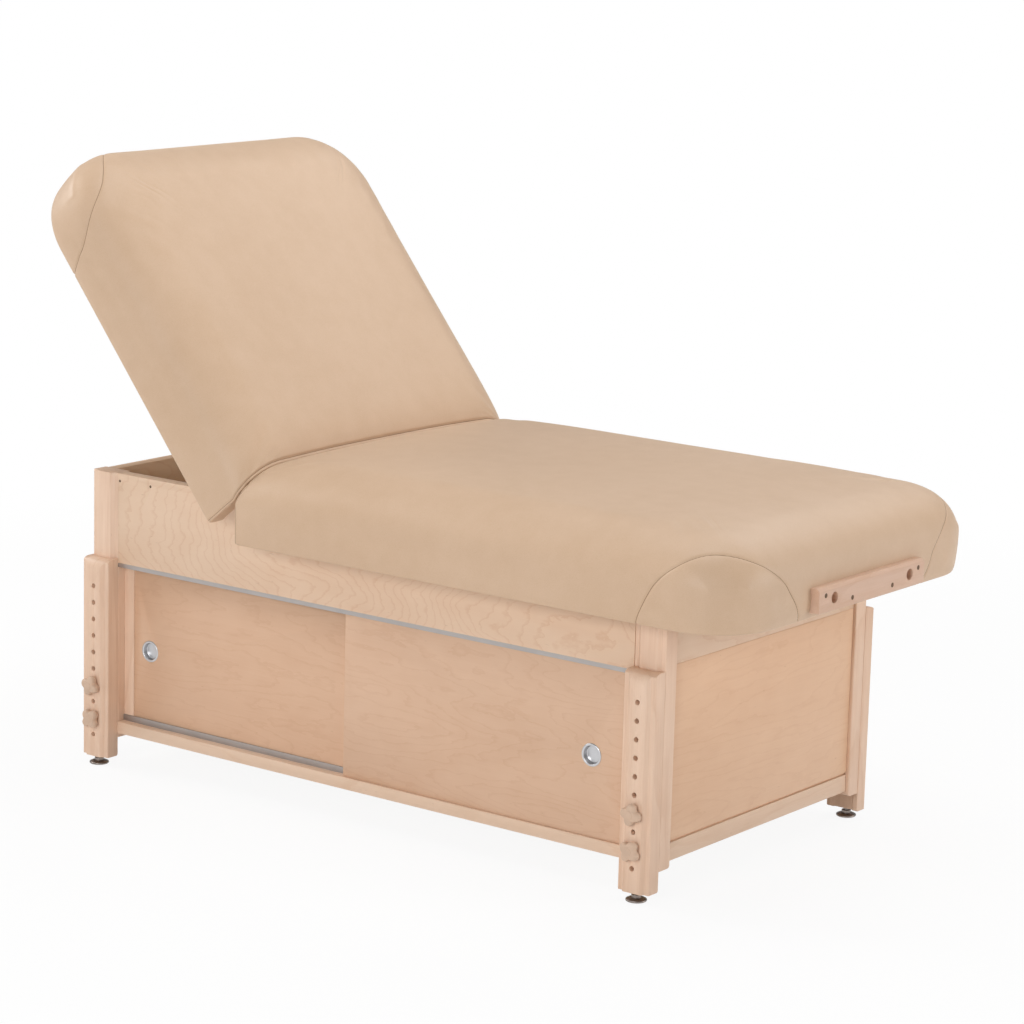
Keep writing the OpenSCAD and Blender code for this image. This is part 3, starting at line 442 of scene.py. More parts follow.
# For each wood: the name of its two colours, the board's axis, its figure, the strengths of
# its growth lines and its fibres, its roughness, and where its field starts
WOODS = {
    "post_maple": ("post", "Z", (0.8, 7.0, 9.0, 0.4, 0.0), 0.22, 0.55, 0.42, 0.0),
    "rail_maple": ("rail", "X", (1.2, 8.0, 8.0, 0.6, 0.0), 0.20, 0.35, 0.42, 3.1),
    "end_rail_maple": ("rail", "Y", (1.2, 8.0, 8.0, 0.6, 0.0), 0.20, 0.40, 0.42, 5.7),
    "apron_maple": ("apron", "X", (2.6, 7.0, 16.0, 1.7, 34.0), 0.24, 0.12, 0.42, 1.3),
    "end_apron_maple": ("apron", "Y", (2.2, 8.0, 12.0, 1.0, 0.0), 0.20, 0.16, 0.42, 2.3),
    "door_maple": ("door", "X", (1.6, 9.0, 22.0, 2.0, 0.0), 0.15, 0.16, 0.42, 7.9),
    # Darker copy of the door maple: painted shade on the rear door, which stands behind the
    # front door
    "shaded_rear_door_maple": ("rear", "X", (1.4, 8.0, 22.0, 2.0, 0.0), 0.15, 0.16, 0.42, 3.9),
    "panel_maple": ("panel", "Y", (1.8, 9.0, 14.0, 1.4, 0.0), 0.12, 0.20, 0.42, 4.4),
    "block_maple": ("block", "Y", (1.2, 8.0, 8.0, 0.6, 0.0), 0.20, 0.40, 0.42, 8.2),
    "frame_softwood": ("softwood", "X", (1.0, 10.0, 16.0, 0.5, 0.0), 0.6, 0.4, 0.6, 6.1),
}


@functools.cache
def finish(name):
    """Makes each material once, from the settings."""
    scene = bpy.context.scene
    pad, wood, metal = scene.table_upholstery, scene.table_wood, scene.table_hardware
    if name in WOODS:
        kind, *grain = WOODS[name]
        light, dark = getattr(wood, kind), getattr(wood, kind + "_line")
        return wood_finish(name, tuple(light), tuple(dark), *grain)
    plywood = tuple(wood.plywood), tuple(wood.plywood_line)
    makers = {
        "vinyl": lambda: vinyl_finish(pad),
        "deck_plywood": lambda: plywood_finish(name, *plywood),
        "raised_plywood": lambda: plywood_finish(name, *plywood, -TILT),
        "knob_plastic": lambda: plastic_finish(name, tuple(metal.knob), 0.46),
        "glide_steel": lambda: metal_finish(name, tuple(metal.steel), 0.26, 0.3),
        "insert_brass": lambda: metal_finish(name, tuple(metal.brass), 0.32, 0.15),
        "track_aluminium": lambda: metal_finish(
            name, tuple(metal.aluminium), 0.42, 0.12, (0.02, 1.0, 1.0)),
        "pull_chrome": lambda: metal_finish(name, tuple(metal.chrome), 0.22, 0.08),
        "zinc_steel": lambda: metal_finish(name, tone(188, 188, 190), 0.36, 0.18),
        "screw_steel": lambda: metal_finish(name, tone(112, 84, 62), 0.60, 0.3, metallic=0.3),
        "rod_chrome": lambda: metal_finish(name, tone(214, 214, 216), 0.12, 0.04),
        "strut_paint": lambda: plastic_finish(name, tuple(metal.paint), 0.34, 0.15),
    }
    return makers[name]()


def coat_node(node, name):
    """Gives a CAD node's own mesh a material."""
    item = frame["nodes"][node]
    while len(item.data.materials) > 1:
        item.data.materials.pop()
    if not item.data.materials:
        item.data.materials.append(finish(name))
    item.material_slots[0].link = "OBJECT"
    item.material_slots[0].material = finish(name)


# Meshes


FLAT_ANGLE = math.radians(0.5)  # Faces that meet at less are one face
SHARP_ANGLE = math.radians(28.0)  # Edges that turn by more are eased


def body_of_node(node):
    return frame["nodes"][node]["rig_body"]


def settle(item, name, body=None, stands_for=()):
    """Finishes a new piece: its material, the nodes that it stands for and the
    body that it rides on."""
    item.data.materials.clear()
    item.data.materials.append(finish(name))
    if stands_for:
        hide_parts(*stands_for)
    if body:
        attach(item, body)
    return item


def placed(name, data):
    """A new object in the scene."""
    item = bpy.data.objects.new(name, data)
    bpy.context.scene.collection.objects.link(item)
    return item


def smoothed(mesh):
    """The mesh, with every face shaded smooth."""
    mesh.polygons.foreach_set("use_smooth", np.ones(len(mesh.polygons), bool))
    return mesh


def new_piece(name, points, faces):
    """A mesh object from arrays, with doubled points merged and its faces outwards."""
    mesh = bpy.data.meshes.new(name)
    mesh.from_pydata(points, [], faces)
    shell = bmesh.new()
    shell.from_mesh(mesh)
    bmesh.ops.remove_doubles(shell, verts=shell.verts, dist=1e-6)
    bmesh.ops.recalc_face_normals(shell, faces=shell.faces)
    shell.to_mesh(mesh)
    shell.free()
    return placed(name, smoothed(mesh))


def grid_points(*columns):
    """Points from arrays or single numbers for x, y and z."""
    return np.stack(np.broadcast_arrays(*columns), -1)


def grid_faces(rows, columns, wrap=False):
    """Corner indices of the quads of a grid of points that is stored row by row."""
    row, column = np.meshgrid(np.arange(rows - 1), np.arange(columns - (0 if wrap else 1)),
                              indexing="ij")
    right = (column + 1) % columns
    return np.stack([row * columns + column, row * columns + right,
                     (row + 1) * columns + right, (row + 1) * columns + column],
                    -1).reshape(-1, 4)


def lathe(profile, segments, axis_turn=None, place=(0.0, 0.0, 0.0), reach=None):
    """Points and faces of a profile of (radius, height) turned round Z. The radius may be
    scaled by reach, a function of the angle. axis_turn is a matrix applied afterwards."""
    profile = np.asarray(profile, float)
    angle = np.linspace(0.0, 2 * np.pi, segments, endpoint=False)
    radius = profile[:, :1] * (np.ones(segments) if reach is None else reach(angle))[None, :]
    points = grid_points(radius * np.cos(angle), radius * np.sin(angle),
                         profile[:, 1:]).reshape(-1, 3)
    if axis_turn is not None:
        points = points @ np.array(axis_turn.to_3x3()).T
    return points + np.asarray(place, float), grid_faces(len(profile), segments, wrap=True)


def joined(parts):
    """Several shells as one set of points and faces."""
    points, faces, count = [], [], 0
    for p, f in parts:
        points.append(p)
        faces += [tuple(int(i) + count for i in q) for q in f]
        count += len(p)
    return np.concatenate(points), faces


def rounded_profile(corners, radii, steps=4):
    """A profile of straight runs whose corners are rounded: each corner is replaced by
    points of the quadratic curve between the ends of its round."""
    corners = [np.asarray(c, float) for c in corners]
    points = [corners[0]]
    for before, at, after, radius in zip(corners, corners[1:], corners[2:], radii):
        inward, outward = before - at, after - at
        reach = min(radius, 0.45 * np.linalg.norm(inward), 0.45 * np.linalg.norm(outward))
        first = at + inward / np.linalg.norm(inward) * reach
        last = at + outward / np.linalg.norm(outward) * reach
        t = np.linspace(0.0, 1.0, steps + 1)[:, None]
        points.extend((1 - t) ** 2 * first + 2 * t * (1 - t) * at + t ** 2 * last)
    points.append(corners[-1])
    return np.array(points)


def thread(radius, pitch, start, end, depth):
    """Profile of a threaded rod as rings: the radius falls by depth between crests."""
    turns = max(2, int(round((end - start) / pitch)))
    heights = np.linspace(start, end, 2 * turns + 1)
    radii = np.where(np.arange(2 * turns + 1) % 2 == 0, radius - depth, radius)
    return np.column_stack([radii, heights])


def eased_copy(node, finish_name, width):
    """A merged copy of a CAD node with its sharp edges rounded by a bevel."""
    mesh = bpy.data.meshes.new(node + "_eased")
    shell = bmesh.new()
    shell.from_mesh(frame["nodes"][node].data)
    bmesh.ops.remove_doubles(shell, verts=shell.verts, dist=2e-6)
    bmesh.ops.dissolve_limit(shell, angle_limit=FLAT_ANGLE, verts=shell.verts,
                             edges=shell.edges)
    shell.to_mesh(mesh)
    shell.free()
    item = placed(node + "_eased", smoothed(mesh))
    bevel = item.modifiers.new("Eased edges", "BEVEL")
    bevel.width = width
    bevel.segments = 2
    bevel.limit_method = "ANGLE"
    bevel.angle_limit = SHARP_ANGLE
    bevel.harden_normals = True
    bevel.miter_outer = "MITER_ARC"
    return settle(item, finish_name, body_of_node(node), [node])


# Upholstery


PLAY = 0.0003  # Play between pad and deck, and between the two pads
HEM_ROUND = 0.005  # Radius of the outer edge of a skirt's hem
INNER_ROUND = 0.004  # Height of the round at the hem's inner edge
HEM_FLAT = 0.010  # How far the hem's flat reaches inwards
SIDE_ROUND = 0.004  # Radius of the upright edges at the hinge end
END_EXTRA = 0.022  # How much thicker a skirt is at the hinge end
BELLY_FADE = 0.05  # Length over which that ends and a skirt's belly begins
POCKET_START = 0.545  # Height of the first ring of the pocket's wall under the hinge axis
FAR_BOW = 0.04  # Bow of the far end of a ring that has shrunk to the spine
CROWN_SHARE = 0.8  # How far towards the spine the rings of the crown go
DIP_DECAY = 12.0  # How fast the dip into the crease ends, per length of the pad
ROLL_DEPTH, ROLL_REACH = 0.006, 0.016  # Depth and reach of the small roll at the crease
SWELL_FRAMES = 20  # Frames for which the cloth swells
DART_ACROSS, DART_UP = 2.05, 1.21  # Powers of a dart seam's arch
DART_SKIN = 0.017  # Thickness of a skirt's outer skin that carries the dart seams
SEAM_PLACE = 0.004  # Distance of the sewn edge from the crease
SEAM_DEPTH = 0.0016  # Depth of the valley along a seam
SEAM_WIDTH = 2.2  # Half width of that valley, in millimetres
NO_SEAM = 99.0  # Distance that stands for no seam near


def stations(start, end, near, near_step, far_step, tail=0.0, tail_step=0.0):
    """Places from start to end: short steps over the first stretch, long ones after it,
    and short ones again over the last stretch."""
    cuts = [start, start + near, end - tail, end]
    steps = [near_step, far_step, tail_step or far_step]
    runs = [np.linspace(a, b, max(1, int(round((b - a) / s))) + 1)[:-1]
            for a, b, s in zip(cuts, cuts[1:], steps) if b - a > 1e-9]
    return np.append(np.concatenate(runs), end)


class Pad:
    """Shape of one padded section, drawn level: x runs from the hinge axis to its far end."""

    def __init__(self, settings, length, corner):
        self.settings, self.length, self.corner = settings, length, corner
        self.half = settings.half_width
        self.shoulder = settings.deck_top - settings.shoulder_drop
        self.top = settings.deck_top + settings.foam - settings.crown
        straight = length - corner
        side_dart = settings.dart_side + settings.dart_shift - corner * math.pi / 4 + 0.02
        end_half = self.half - corner
        end_dart = settings.dart_end - settings.dart_shift - corner * math.pi / 4 + 0.02
        self.along = stations(0.0, straight, 0.024, 0.002, 0.010, side_dart, 0.004)
        self.arc = stations(0.0, math.pi / 2, math.pi / 2, 0.0042 / corner, 1.0)[1:]
        self.across = end_half - stations(0.0, end_half, end_dart, 0.004, 0.010)[1:]

    def crease(self, z):
        """Where the hinge end lies at a height: upright a little back from the axis, and
        leaning back by half the tilt higher up, where the two pads press on each other."""
        return np.maximum(self.settings.setback, (z - HINGE.z) * math.tan(TILT / 2) + PLAY)

    def ring(self, inset, z, draw=0.0, share=0.0, soft=0.0, belly=0.0):
        """One ring of points, from the hinge end round the far end and back: the outline
        moved inwards by inset, and then by share of the way to the pad's spine, with its
        far end bowed a little so that no lid over it has faces without area. Away from
        the hinge end it stands out by belly. Near that end the ring dips and, by soft,
        turns inwards."""
        s = self.along / self.along[-1]
        dip = (self.settings.crease_dip * np.exp(-DIP_DECAY * s)
               + ROLL_DEPTH * np.exp(-self.along / ROLL_REACH)) \
            * max(0.0, (z - self.shoulder) / (self.top - self.shoulder))
        inset = inset - belly
        full = belly * np.exp(-self.along / BELLY_FADE)
        near = np.maximum(0.0, soft - self.along)
        turn_in = soft - np.sqrt(np.maximum(0.0, soft ** 2 - near ** 2))
        side_z = z - dip
        start = self.crease(side_z)
        side = grid_points(start + (self.length - self.corner - start) * s,
                           -(self.half - inset - full - turn_in - draw * np.sin(np.pi * s)),
                           side_z)
        radius = self.corner - inset
        arc = grid_points(self.length - self.corner + radius * np.sin(self.arc),
                          -(self.half - self.corner) - radius * np.cos(self.arc), z)
        end = grid_points(self.length - inset, -self.across, z)
        half = np.concatenate([side, arc, end])
        spine = np.minimum(half[:, 0], self.length - self.half)
        half[:, 0] += (spine - half[:, 0]) * share
        half[:, 0] += FAR_BOW * share * (1.0 - (half[:, 1] / half[:, 1].min()) ** 2)
        half[:, 1] *= 1.0 - share
        return np.concatenate([half, half[-2::-1] * [1.0, -1.0, 1.0]])

    def belly(self, z):
        """How far the skirt stands out at a height: a parabola from nothing at its edge."""
        low = 1.0 - (z - self.settings.skirt_foot) / (self.shoulder - self.settings.skirt_foot)
        return self.settings.skirt_belly * (1.0 - max(0.0, low) ** 2)

    def levels(self):
        """Rings from the edge of the pocket's ceiling, down inside the skirt, round its
        edge, up the outside, over the rounded edge, and on the crown nearly to the spine.
        Also the numbers of the two rings at the hinge axis's height."""
        s = self.settings
        foot, tuck, soft = s.skirt_foot, s.tuck, SIDE_ROUND
        wall = s.skirt + END_EXTRA
        rings = [self.ring(wall, s.deck_top + PLAY, share=0.01, belly=END_EXTRA)]
        rings += [self.ring(wall, z, belly=END_EXTRA)
                  for z in (HINGE.z, *np.linspace(POCKET_START, foot + INNER_ROUND, 6))]
        rings += [self.ring(wall - 0.003 * (1 - math.cos(a)),
                            foot + INNER_ROUND * (1 - math.sin(a)), belly=END_EXTRA)
                  for a in (0.5, 1.0, math.pi / 2)]
        rings.append(self.ring(HEM_FLAT, foot))
        rings += [self.ring(HEM_ROUND + tuck - HEM_ROUND * math.sin(a),
                            foot + HEM_ROUND * (1 - math.cos(a)), soft=soft)
                  for a in (0.0, 0.5, 1.0, math.pi / 2)]
        below = np.linspace(foot + 2 * HEM_ROUND, HINGE.z, 14)
        outer_axis = len(rings) + len(below) - 1
        rings += [self.ring(tuck, z, s.side_draw * min(1.0, (z - foot) / 0.05), soft=soft,
                            belly=self.belly(z))
                  for z in (*below, *np.linspace(HINGE.z, self.shoulder, 3)[1:])]
        rings += [self.ring(tuck + s.edge_round * (1 - math.cos(a)),
                            self.shoulder + (self.top - self.shoulder) * math.sin(a),
                            s.side_draw, soft=soft * math.cos(a),
                            belly=s.skirt_belly * math.cos(a))
                  for a in np.linspace(0.0, math.pi / 2, 25)[1:]]
        rings += [self.ring(tuck + s.edge_round,
                            self.top + s.crown * (1 - (1 - t / CROWN_SHARE) ** 2),
                            s.side_draw, share=t)
                  for t in np.linspace(0.0, CROWN_SHARE, 25)[1:]]
        return np.stack(rings), (1, outer_axis)

    def lid(self, row, columns):
        """Faces over the U of one ring: strips from side to side, and a triangle at the
        middle of its bowed far end."""
        middle = row * columns + columns // 2
        left = np.arange(row * columns, middle - 1)
        right = 2 * middle - left
        strips = np.stack([left, left + 1, right - 1, right], -1).tolist()
        return strips + [[middle - 1, middle, middle + 1]]

    def mesh(self, name):
        """The closed mesh: a grid of the rings, a lid over the first and the last, and
        three flat faces over the hinge end, which bends at the hinge axis's height."""
        rings, (inner, outer) = self.levels()
        rows, columns = rings.shape[:2]
        faces = grid_faces(rows, columns).tolist()
        faces += self.lid(0, columns) + self.lid(rows - 1, columns)
        below = np.arange(inner, outer + 1)
        above = np.concatenate([np.arange(inner + 1), np.arange(outer, rows)])
        faces += [list(map(int, below * columns)), list(map(int, (below + 1) * columns - 1)),
                  [*map(int, above * columns), *map(int, (above[::-1] + 1) * columns - 1)]]
        shell = bpy.data.meshes.new(name)
        shell.from_pydata(rings.reshape(-1, 3), [], faces)
        work = bmesh.new()
        work.from_mesh(shell)
        work.faces.ensure_lookup_table()
        bmesh.ops.triangulate(work, faces=work.faces[-3:], ngon_method="EAR_CLIP")
        bmesh.ops.recalc_face_normals(work, faces=work.faces)
        work.to_mesh(shell)
        work.free()
        return smoothed(shell)


def coordinates(mesh):
    """The places of a mesh's points as an array."""
    co = np.empty(len(mesh.vertices) * 3, np.float32)
    mesh.vertices.foreach_get("co", co)
    return co.reshape(-1, 3).astype(float)


def swell(item, held, furthest):
    """Lets the cloth swell under a little pressure, with the held points fixed, and keeps
    each point within the furthest distance of where it was."""
    group = item.vertex_groups.new(name="held")
    group.add([int(i) for i in np.flatnonzero(held)], 1.0, "REPLACE")
    cloth = item.modifiers.new("Swell", "CLOTH")
    cloth.settings.vertex_group_mass = "held"
    cloth.settings.quality = 4
    cloth.settings.mass = 0.3
    cloth.settings.tension_stiffness = 18.0
    cloth.settings.compression_stiffness = 18.0
    cloth.settings.bending_stiffness = 2.0
    cloth.settings.use_pressure = True
    cloth.settings.uniform_pressure_force = 4.0
    cloth.settings.effector_weights.gravity = 0.0
    scene = bpy.context.scene
    for step in range(1, SWELL_FRAMES + 1):
        scene.frame_set(step)
    start = coordinates(item.data)
    swollen = coordinates(item.evaluated_get(bpy.context.evaluated_depsgraph_get()).data)
    move = swollen - start
    size = np.linalg.norm(move, axis=1, keepdims=True)
    move *= furthest / np.maximum(furthest + size, 1e-9)
    item.modifiers.remove(cloth)
    item.vertex_groups.clear()
    item.data.vertices.foreach_set("co", (start + move).astype(np.float32).ravel())
    item.data.update()
    scene.frame_set(1)


def applied(item):
    """Bakes the piece's modifiers into its mesh."""
    bpy.context.view_layer.update()
    mesh = bpy.data.meshes.new_from_object(item.evaluated_get(
        bpy.context.evaluated_depsgraph_get()))
    item.modifiers.clear()
    old, item.data = item.data, mesh
    bpy.data.meshes.remove(old)


def dart_distance(pad, co):
    """Signed distance, in millimetres, from each point to the dart seam of its corner. The
    seam is the arch where a power of the share of its reach along the skirt and a power of
    the share of its rise add up to one. Their sum less one, divided by the steepness of
    that sum, is the distance."""
    s = pad.settings
    x, y, z = co[:, 0], np.abs(co[:, 1]), co[:, 2]
    dx, dy = x - (pad.length - pad.corner), y - (pad.half - pad.corner)
    angle = np.arctan2(np.maximum(dx, 0.0), np.maximum(dy, 1e-9))
    quarter = pad.corner * math.pi / 4
    run = np.where(dx < 0.0, dx - quarter,
                   np.where(dy < 0.0, quarter - dy, pad.corner * angle - quarter)) + s.dart_shift
    out = np.where((dx > 0.0) & (dy > 0.0), np.hypot(dx, dy), np.maximum(dx, dy)) - pad.corner
    turn = np.arctan2(np.maximum(0.0, z - pad.shoulder) / (pad.top - pad.shoulder),
                      (out + s.tuck + s.edge_round) / (s.edge_round + s.skirt_belly))
    rise = np.minimum(z, pad.shoulder) - s.skirt_foot \
        + turn * 0.5 * (s.edge_round + pad.top - pad.shoulder)
    reach = np.where(run < 0.0, s.dart_side, s.dart_end)
    across, up = np.abs(run) / reach, np.maximum(rise, 1e-4) / s.dart_rise
    excess = across ** DART_ACROSS + up ** DART_UP - 1.0
    steepness = np.hypot(DART_ACROSS * across ** (DART_ACROSS - 1) / reach,
                         DART_UP * up ** (DART_UP - 1) / s.dart_rise)
    inside = (out > -s.edge_round) & ((out > -DART_SKIN) | (z > pad.shoulder))
    return np.where(inside, excess / np.maximum(steepness, 1e-6) / MM, NO_SEAM)


def cover(s, name, length, corner, node, place):
    """One padded section: its pad swells as cloth, is smoothed, gets its sewn darts, and is
    then put in its place and bent across the hinge. The cloth is held on the deck, at the
    hem and at the hinge end."""
    pad = Pad(s, length, corner)
    item = placed(name, pad.mesh(name))
    co = coordinates(item.data)
    inner = (np.abs(co[:, 1]) < pad.half - 0.012) & (co[:, 0] < length - 0.012) \
        & (co[:, 2] < s.deck_top + 0.001)
    held = inner | (co[:, 2] < s.skirt_foot + 0.006) \
        | (co[:, 0] < pad.crease(co[:, 2]) + 0.006)
    swell(item, held, s.swell)
    smooth = item.modifiers.new("Finer", "SUBSURF")
    smooth.levels = smooth.render_levels = 1
    applied(item)
    co = coordinates(item.data)
    distance = dart_distance(pad, co)
    end_seam = (co[:, 0] - pad.crease(co[:, 2]) - SEAM_PLACE) / MM
    skin = (np.abs(co[:, 1]) > pad.half - 0.018) | (co[:, 2] > s.deck_top + 0.004)
    distance = np.where(skin & (np.abs(end_seam) < np.abs(distance)), end_seam, distance)
    normals = np.empty(len(co) * 3, np.float32)
    item.data.vertices.foreach_get("normal", normals)
    groove = SEAM_DEPTH * np.exp(-(distance / SEAM_WIDTH) ** 2)
    co -= normals.reshape(-1, 3) * groove[:, None]
    # The seam distance drives a painted shade in the vinyl: a dark line along the darts and
    # along the edge by the hinge-end crease
    attribute = item.data.attributes.new("seam", "FLOAT", "POINT")
    attribute.data.foreach_set("value", distance.astype(np.float32))
    co = np.column_stack([co, np.ones(len(co))]) @ np.array(place).T
    item.data.vertices.foreach_set("co", co[:, :3].astype(np.float32).ravel())
    item.data.update()
    if place.to_3x3().determinant() < 0:
        item.data.flip_normals()
    settle(item, "vinyl", stands_for=[node])
    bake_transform(item)


def seat_place():
    """From the level drawing to the seat's place."""
    return Matrix.Translation((HINGE.x, 0.0, 0.0))


def backrest_place():
    """From the level drawing to the raised backrest: mirrored, lifted by its small gap,
    and turned about the hinge axis."""
    return Matrix.Translation(HINGE) @ Matrix.Rotation(TILT, 4, "Y") \
        @ Matrix.Translation((0.0, 0.0, PLAY - HINGE.z)) @ Matrix.Scale(-1, 4, (1, 0, 0))


class TablePiece:
    """What every operator of this table shares."""
    bl_options = {"REGISTER", "UNDO"}


class SeatCover(TablePiece, bpy.types.Operator):
    """Makes the seat's padded vinyl cover"""
    bl_idname = "massage_table.seat_cover"
    bl_label = "Seat cover"

    def execute(self, context):
        s = context.scene.table_upholstery
        cover(s, "seat_cover", s.seat_length, s.seat_corner, "seat_cushion", seat_place())
        return {"FINISHED"}


class BackrestCover(TablePiece, bpy.types.Operator):
    """Makes the backrest's padded vinyl cover"""
    bl_idname = "massage_table.backrest_cover"
    bl_label = "Backrest cover"

    def execute(self, context):
        s = context.scene.table_upholstery
        cover(s, "backrest_cover", s.back_length, s.back_corner, "backrest_cushion",
              backrest_place())
        return {"FINISHED"}


class PostsAndLegs(TablePiece, bpy.types.Operator):
    """Makes the corner posts and the height legs, with eased edges"""
    bl_idname = "massage_table.posts_and_legs"
    bl_label = "Posts and legs"

    def execute(self, context):
        ease = context.scene.table_wood.edge_ease
        for corner in CORNERS:
            for kind in ("post", "leg"):
                eased_copy(f"{corner}_{kind}", "post_maple", ease)
        return {"FINISHED"}


class CabinetBoards(TablePiece, bpy.types.Operator):
    """Makes the cabinet's aprons, panels, rails, stiles and floor"""
    bl_idname = "massage_table.cabinet_boards"
    bl_label = "Cabinet boards"

    def execute(self, context):
        ease = context.scene.table_wood.edge_ease
        boards = {
            ("apron_maple", "maple_veneer"): ["front_apron", "back_apron"],
            ("end_apron_maple", "maple_veneer"): ["head_apron", "foot_apron"],
            ("panel_maple", "maple_veneer"): ["head_panel", "foot_panel"],
            ("door_maple", "maple_veneer"): ["back_panel"],
            ("rail_maple", "maple_rail"): ["front_bottom_rail", "back_bottom_rail"],
            ("end_rail_maple", "maple_rail"): ["head_bottom_rail", "foot_bottom_rail"],
            ("post_maple", "maple_solid"): ["head_stile", "foot_stile"],
            ("deck_plywood", "birch_plywood"): ["cabinet_floor", "hinge_crossbar"],
        }
        for (name, slot_name), nodes in boards.items():
            for node in nodes:
                eased_copy(node, name, ease)
        return {"FINISHED"}


class Doors(TablePiece, bpy.types.Operator):
    """Makes the sliding doors and their tracks"""
    bl_idname = "massage_table.doors"
    bl_label = "Doors and tracks"

    def execute(self, context):
        # The rear door gets the darker maple, a painted shade for its place behind the front
        # door
        for node, figure in (("front_door", "door_maple"), ("rear_door", "shaded_rear_door_maple")):
            eased_copy(node, figure, context.scene.table_wood.edge_ease)
        for node in ("upper_track", "lower_track"):
            coat_node(node, "track_aluminium")
        return {"FINISHED"}


class DoorPulls(TablePiece, bpy.types.Operator):
    """Makes the two round flush pulls"""
    bl_idname = "massage_table.door_pulls"
    bl_label = "Door pulls"

    def execute(self, context):
        corners = [(0.0, 8.0), (15.2, 8.0), (15.4, 0.2), (16.6, -1.25), (19.3, -1.25),
                   (20.4, -0.1), (17.0, 0.0), (17.0, 9.2), (0.0, 9.2)]
        profile = rounded_profile(corners, [2.4, 0.8, 0.9, 0.9, 0.2, 0.2, 1.0], 5) * MM
        turn = Matrix.Rotation(-math.pi / 2, 4, "X")
        for node in ("front_door_pull", "rear_door_pull"):
            low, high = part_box(node)
            place = ((low.x + high.x) / 2, low.y + 0.0012, (low.z + high.z) / 2)
            item = new_piece(node + "_ring", *lathe(profile, 72, turn, place))
            settle(item, "pull_chrome", body_of_node(node), [node])
        return {"FINISHED"}


KNOB_HEIGHT = 0.0125  # Thickness of a knob's lobed body
LOBE_POWER = 14.0  # How sharply a knob's lobes meet its waist


def knob_reach(settings):
    """Radius of the lobed outline against the angle: the high-power mean of four lobe
    circles and the waist circle, as a share of the reach."""
    spread = settings.knob_reach - settings.lobe

    def reach(angle):
        turn = (angle + math.pi / 4) % (math.pi / 2) - math.pi / 4
        across = np.abs(spread * np.sin(turn))
        lobe = spread * np.cos(turn) + np.sqrt(np.maximum(0.0, settings.lobe ** 2 - across ** 2))
        both = (lobe ** LOBE_POWER + settings.knob_waist ** LOBE_POWER) ** (1 / LOBE_POWER)
        return both / settings.knob_reach * 0.995

    return reach


class Knobs(TablePiece, bpy.types.Operator):
    """Makes the eight lobed knobs with their threaded studs"""
    bl_idname = "massage_table.knobs"
    bl_label = "Knobs"

    turns = {
        "front_head_upper": 20, "front_head_lower": 45, "front_foot_upper": 10,
        "front_foot_lower": 32, "back_head_upper": 55, "back_head_lower": 15,
        "back_foot_upper": 70, "back_foot_lower": 40,
    }

    def execute(self, context):
        s = context.scene.table_hardware
        r, top, edge = s.knob_reach, KNOB_HEIGHT, s.knob_round
        body = rounded_profile(
            [(0.0, 0.0), (r - 0.0012, 0.0), (r, 0.003), (r, top - 0.004),
             (r - 0.0034, top), (0.55 * r, top + 0.0003), (0.0, top + 0.0003)],
            [0.0012, 0.001, edge, edge, 0.002], 5)
        cap = rounded_profile(
            [(0.0, top - 0.001), (0.0076, top - 0.001), (0.0076, top + 0.0009),
             (0.0, top + 0.0010)], [0.0001, 0.0006], 4)
        collar = rounded_profile([(0.0, -0.0025), (0.009, -0.0025), (0.009, 0.0004),
                                  (0.0, 0.0004)], [0.0006, 0.0001], 3)
        stud = np.vstack([[(0.0, -0.0509)], thread(0.004, s.thread_pitch, -0.0508, -0.0025,
                                                   0.0005), [(0.0, -0.0025)]])
        for corner, turn in self.turns.items():
            node = corner + "_knob"
            low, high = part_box(node)
            outward = -1.0 if corner.startswith("front") else 1.0
            pose = Matrix.Rotation(-outward * math.pi / 2, 4, "X") \
                @ Matrix.Rotation(-math.radians(turn), 4, "Z")
            face = low.y if outward < 0 else high.y
            centre = ((low.x + high.x) / 2, face - outward * top, (low.z + high.z) / 2)
            parts = [lathe(body, 96, pose, centre, knob_reach(s)), lathe(cap, 48, pose, centre),
                     lathe(collar, 32, pose, centre), lathe(stud, 20, pose, centre)]
            item = new_piece(corner + "_lobed_knob", *joined(parts))
            settle(item, "knob_plastic", body_of_node(node), [node])
        return {"FINISHED"}


class Glides(TablePiece, bpy.types.Operator):
    """Makes the four adjustable glides"""
    bl_idname = "massage_table.glides"
    bl_label = "Glides"

    def execute(self, context):
        foot = rounded_profile(
            [(0.0, 0.0), (17.0, 0.0), (18.3, 1.3), (18.1, 3.6), (12.0, 6.4), (8.6, 6.6),
             (8.4, 7.0)], [1.0, 0.8, 1.4, 2.0, 0.2], 5)
        nut = rounded_profile([(8.4, 7.0), (8.5, 7.2), (8.5, 11.4), (8.0, 11.7), (5.0, 11.7)],
                              [0.2, 0.4, 0.4], 3)
        stem = thread(5.0, 1.5, 11.7, 42.6, 0.6)
        profile = np.vstack([foot, nut, stem, [(0.0, 42.6)]]) * MM
        for corner in CORNERS:
            node = corner + "_glide"
            low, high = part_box(node)
            place = ((low.x + high.x) / 2, (low.y + high.y) / 2, low.z)
            item = new_piece(node + "_foot", *lathe(profile, 48, None, place))
            settle(item, "glide_steel", body_of_node(node), [node])
        return {"FINISHED"}


class InnerFrame(TablePiece, bpy.types.Operator):
    """Makes the plywood decks and the softwood rails under them"""
    bl_idname = "massage_table.inner_frame"
    bl_label = "Decks and rails"

    def execute(self, context):
        coat_node("seat_deck", "deck_plywood")
        coat_node("backrest_deck", "raised_plywood")
        coat_node("seat_rails", "frame_softwood")
        coat_node("backrest_rails", "frame_softwood")
        return {"FINISHED"}


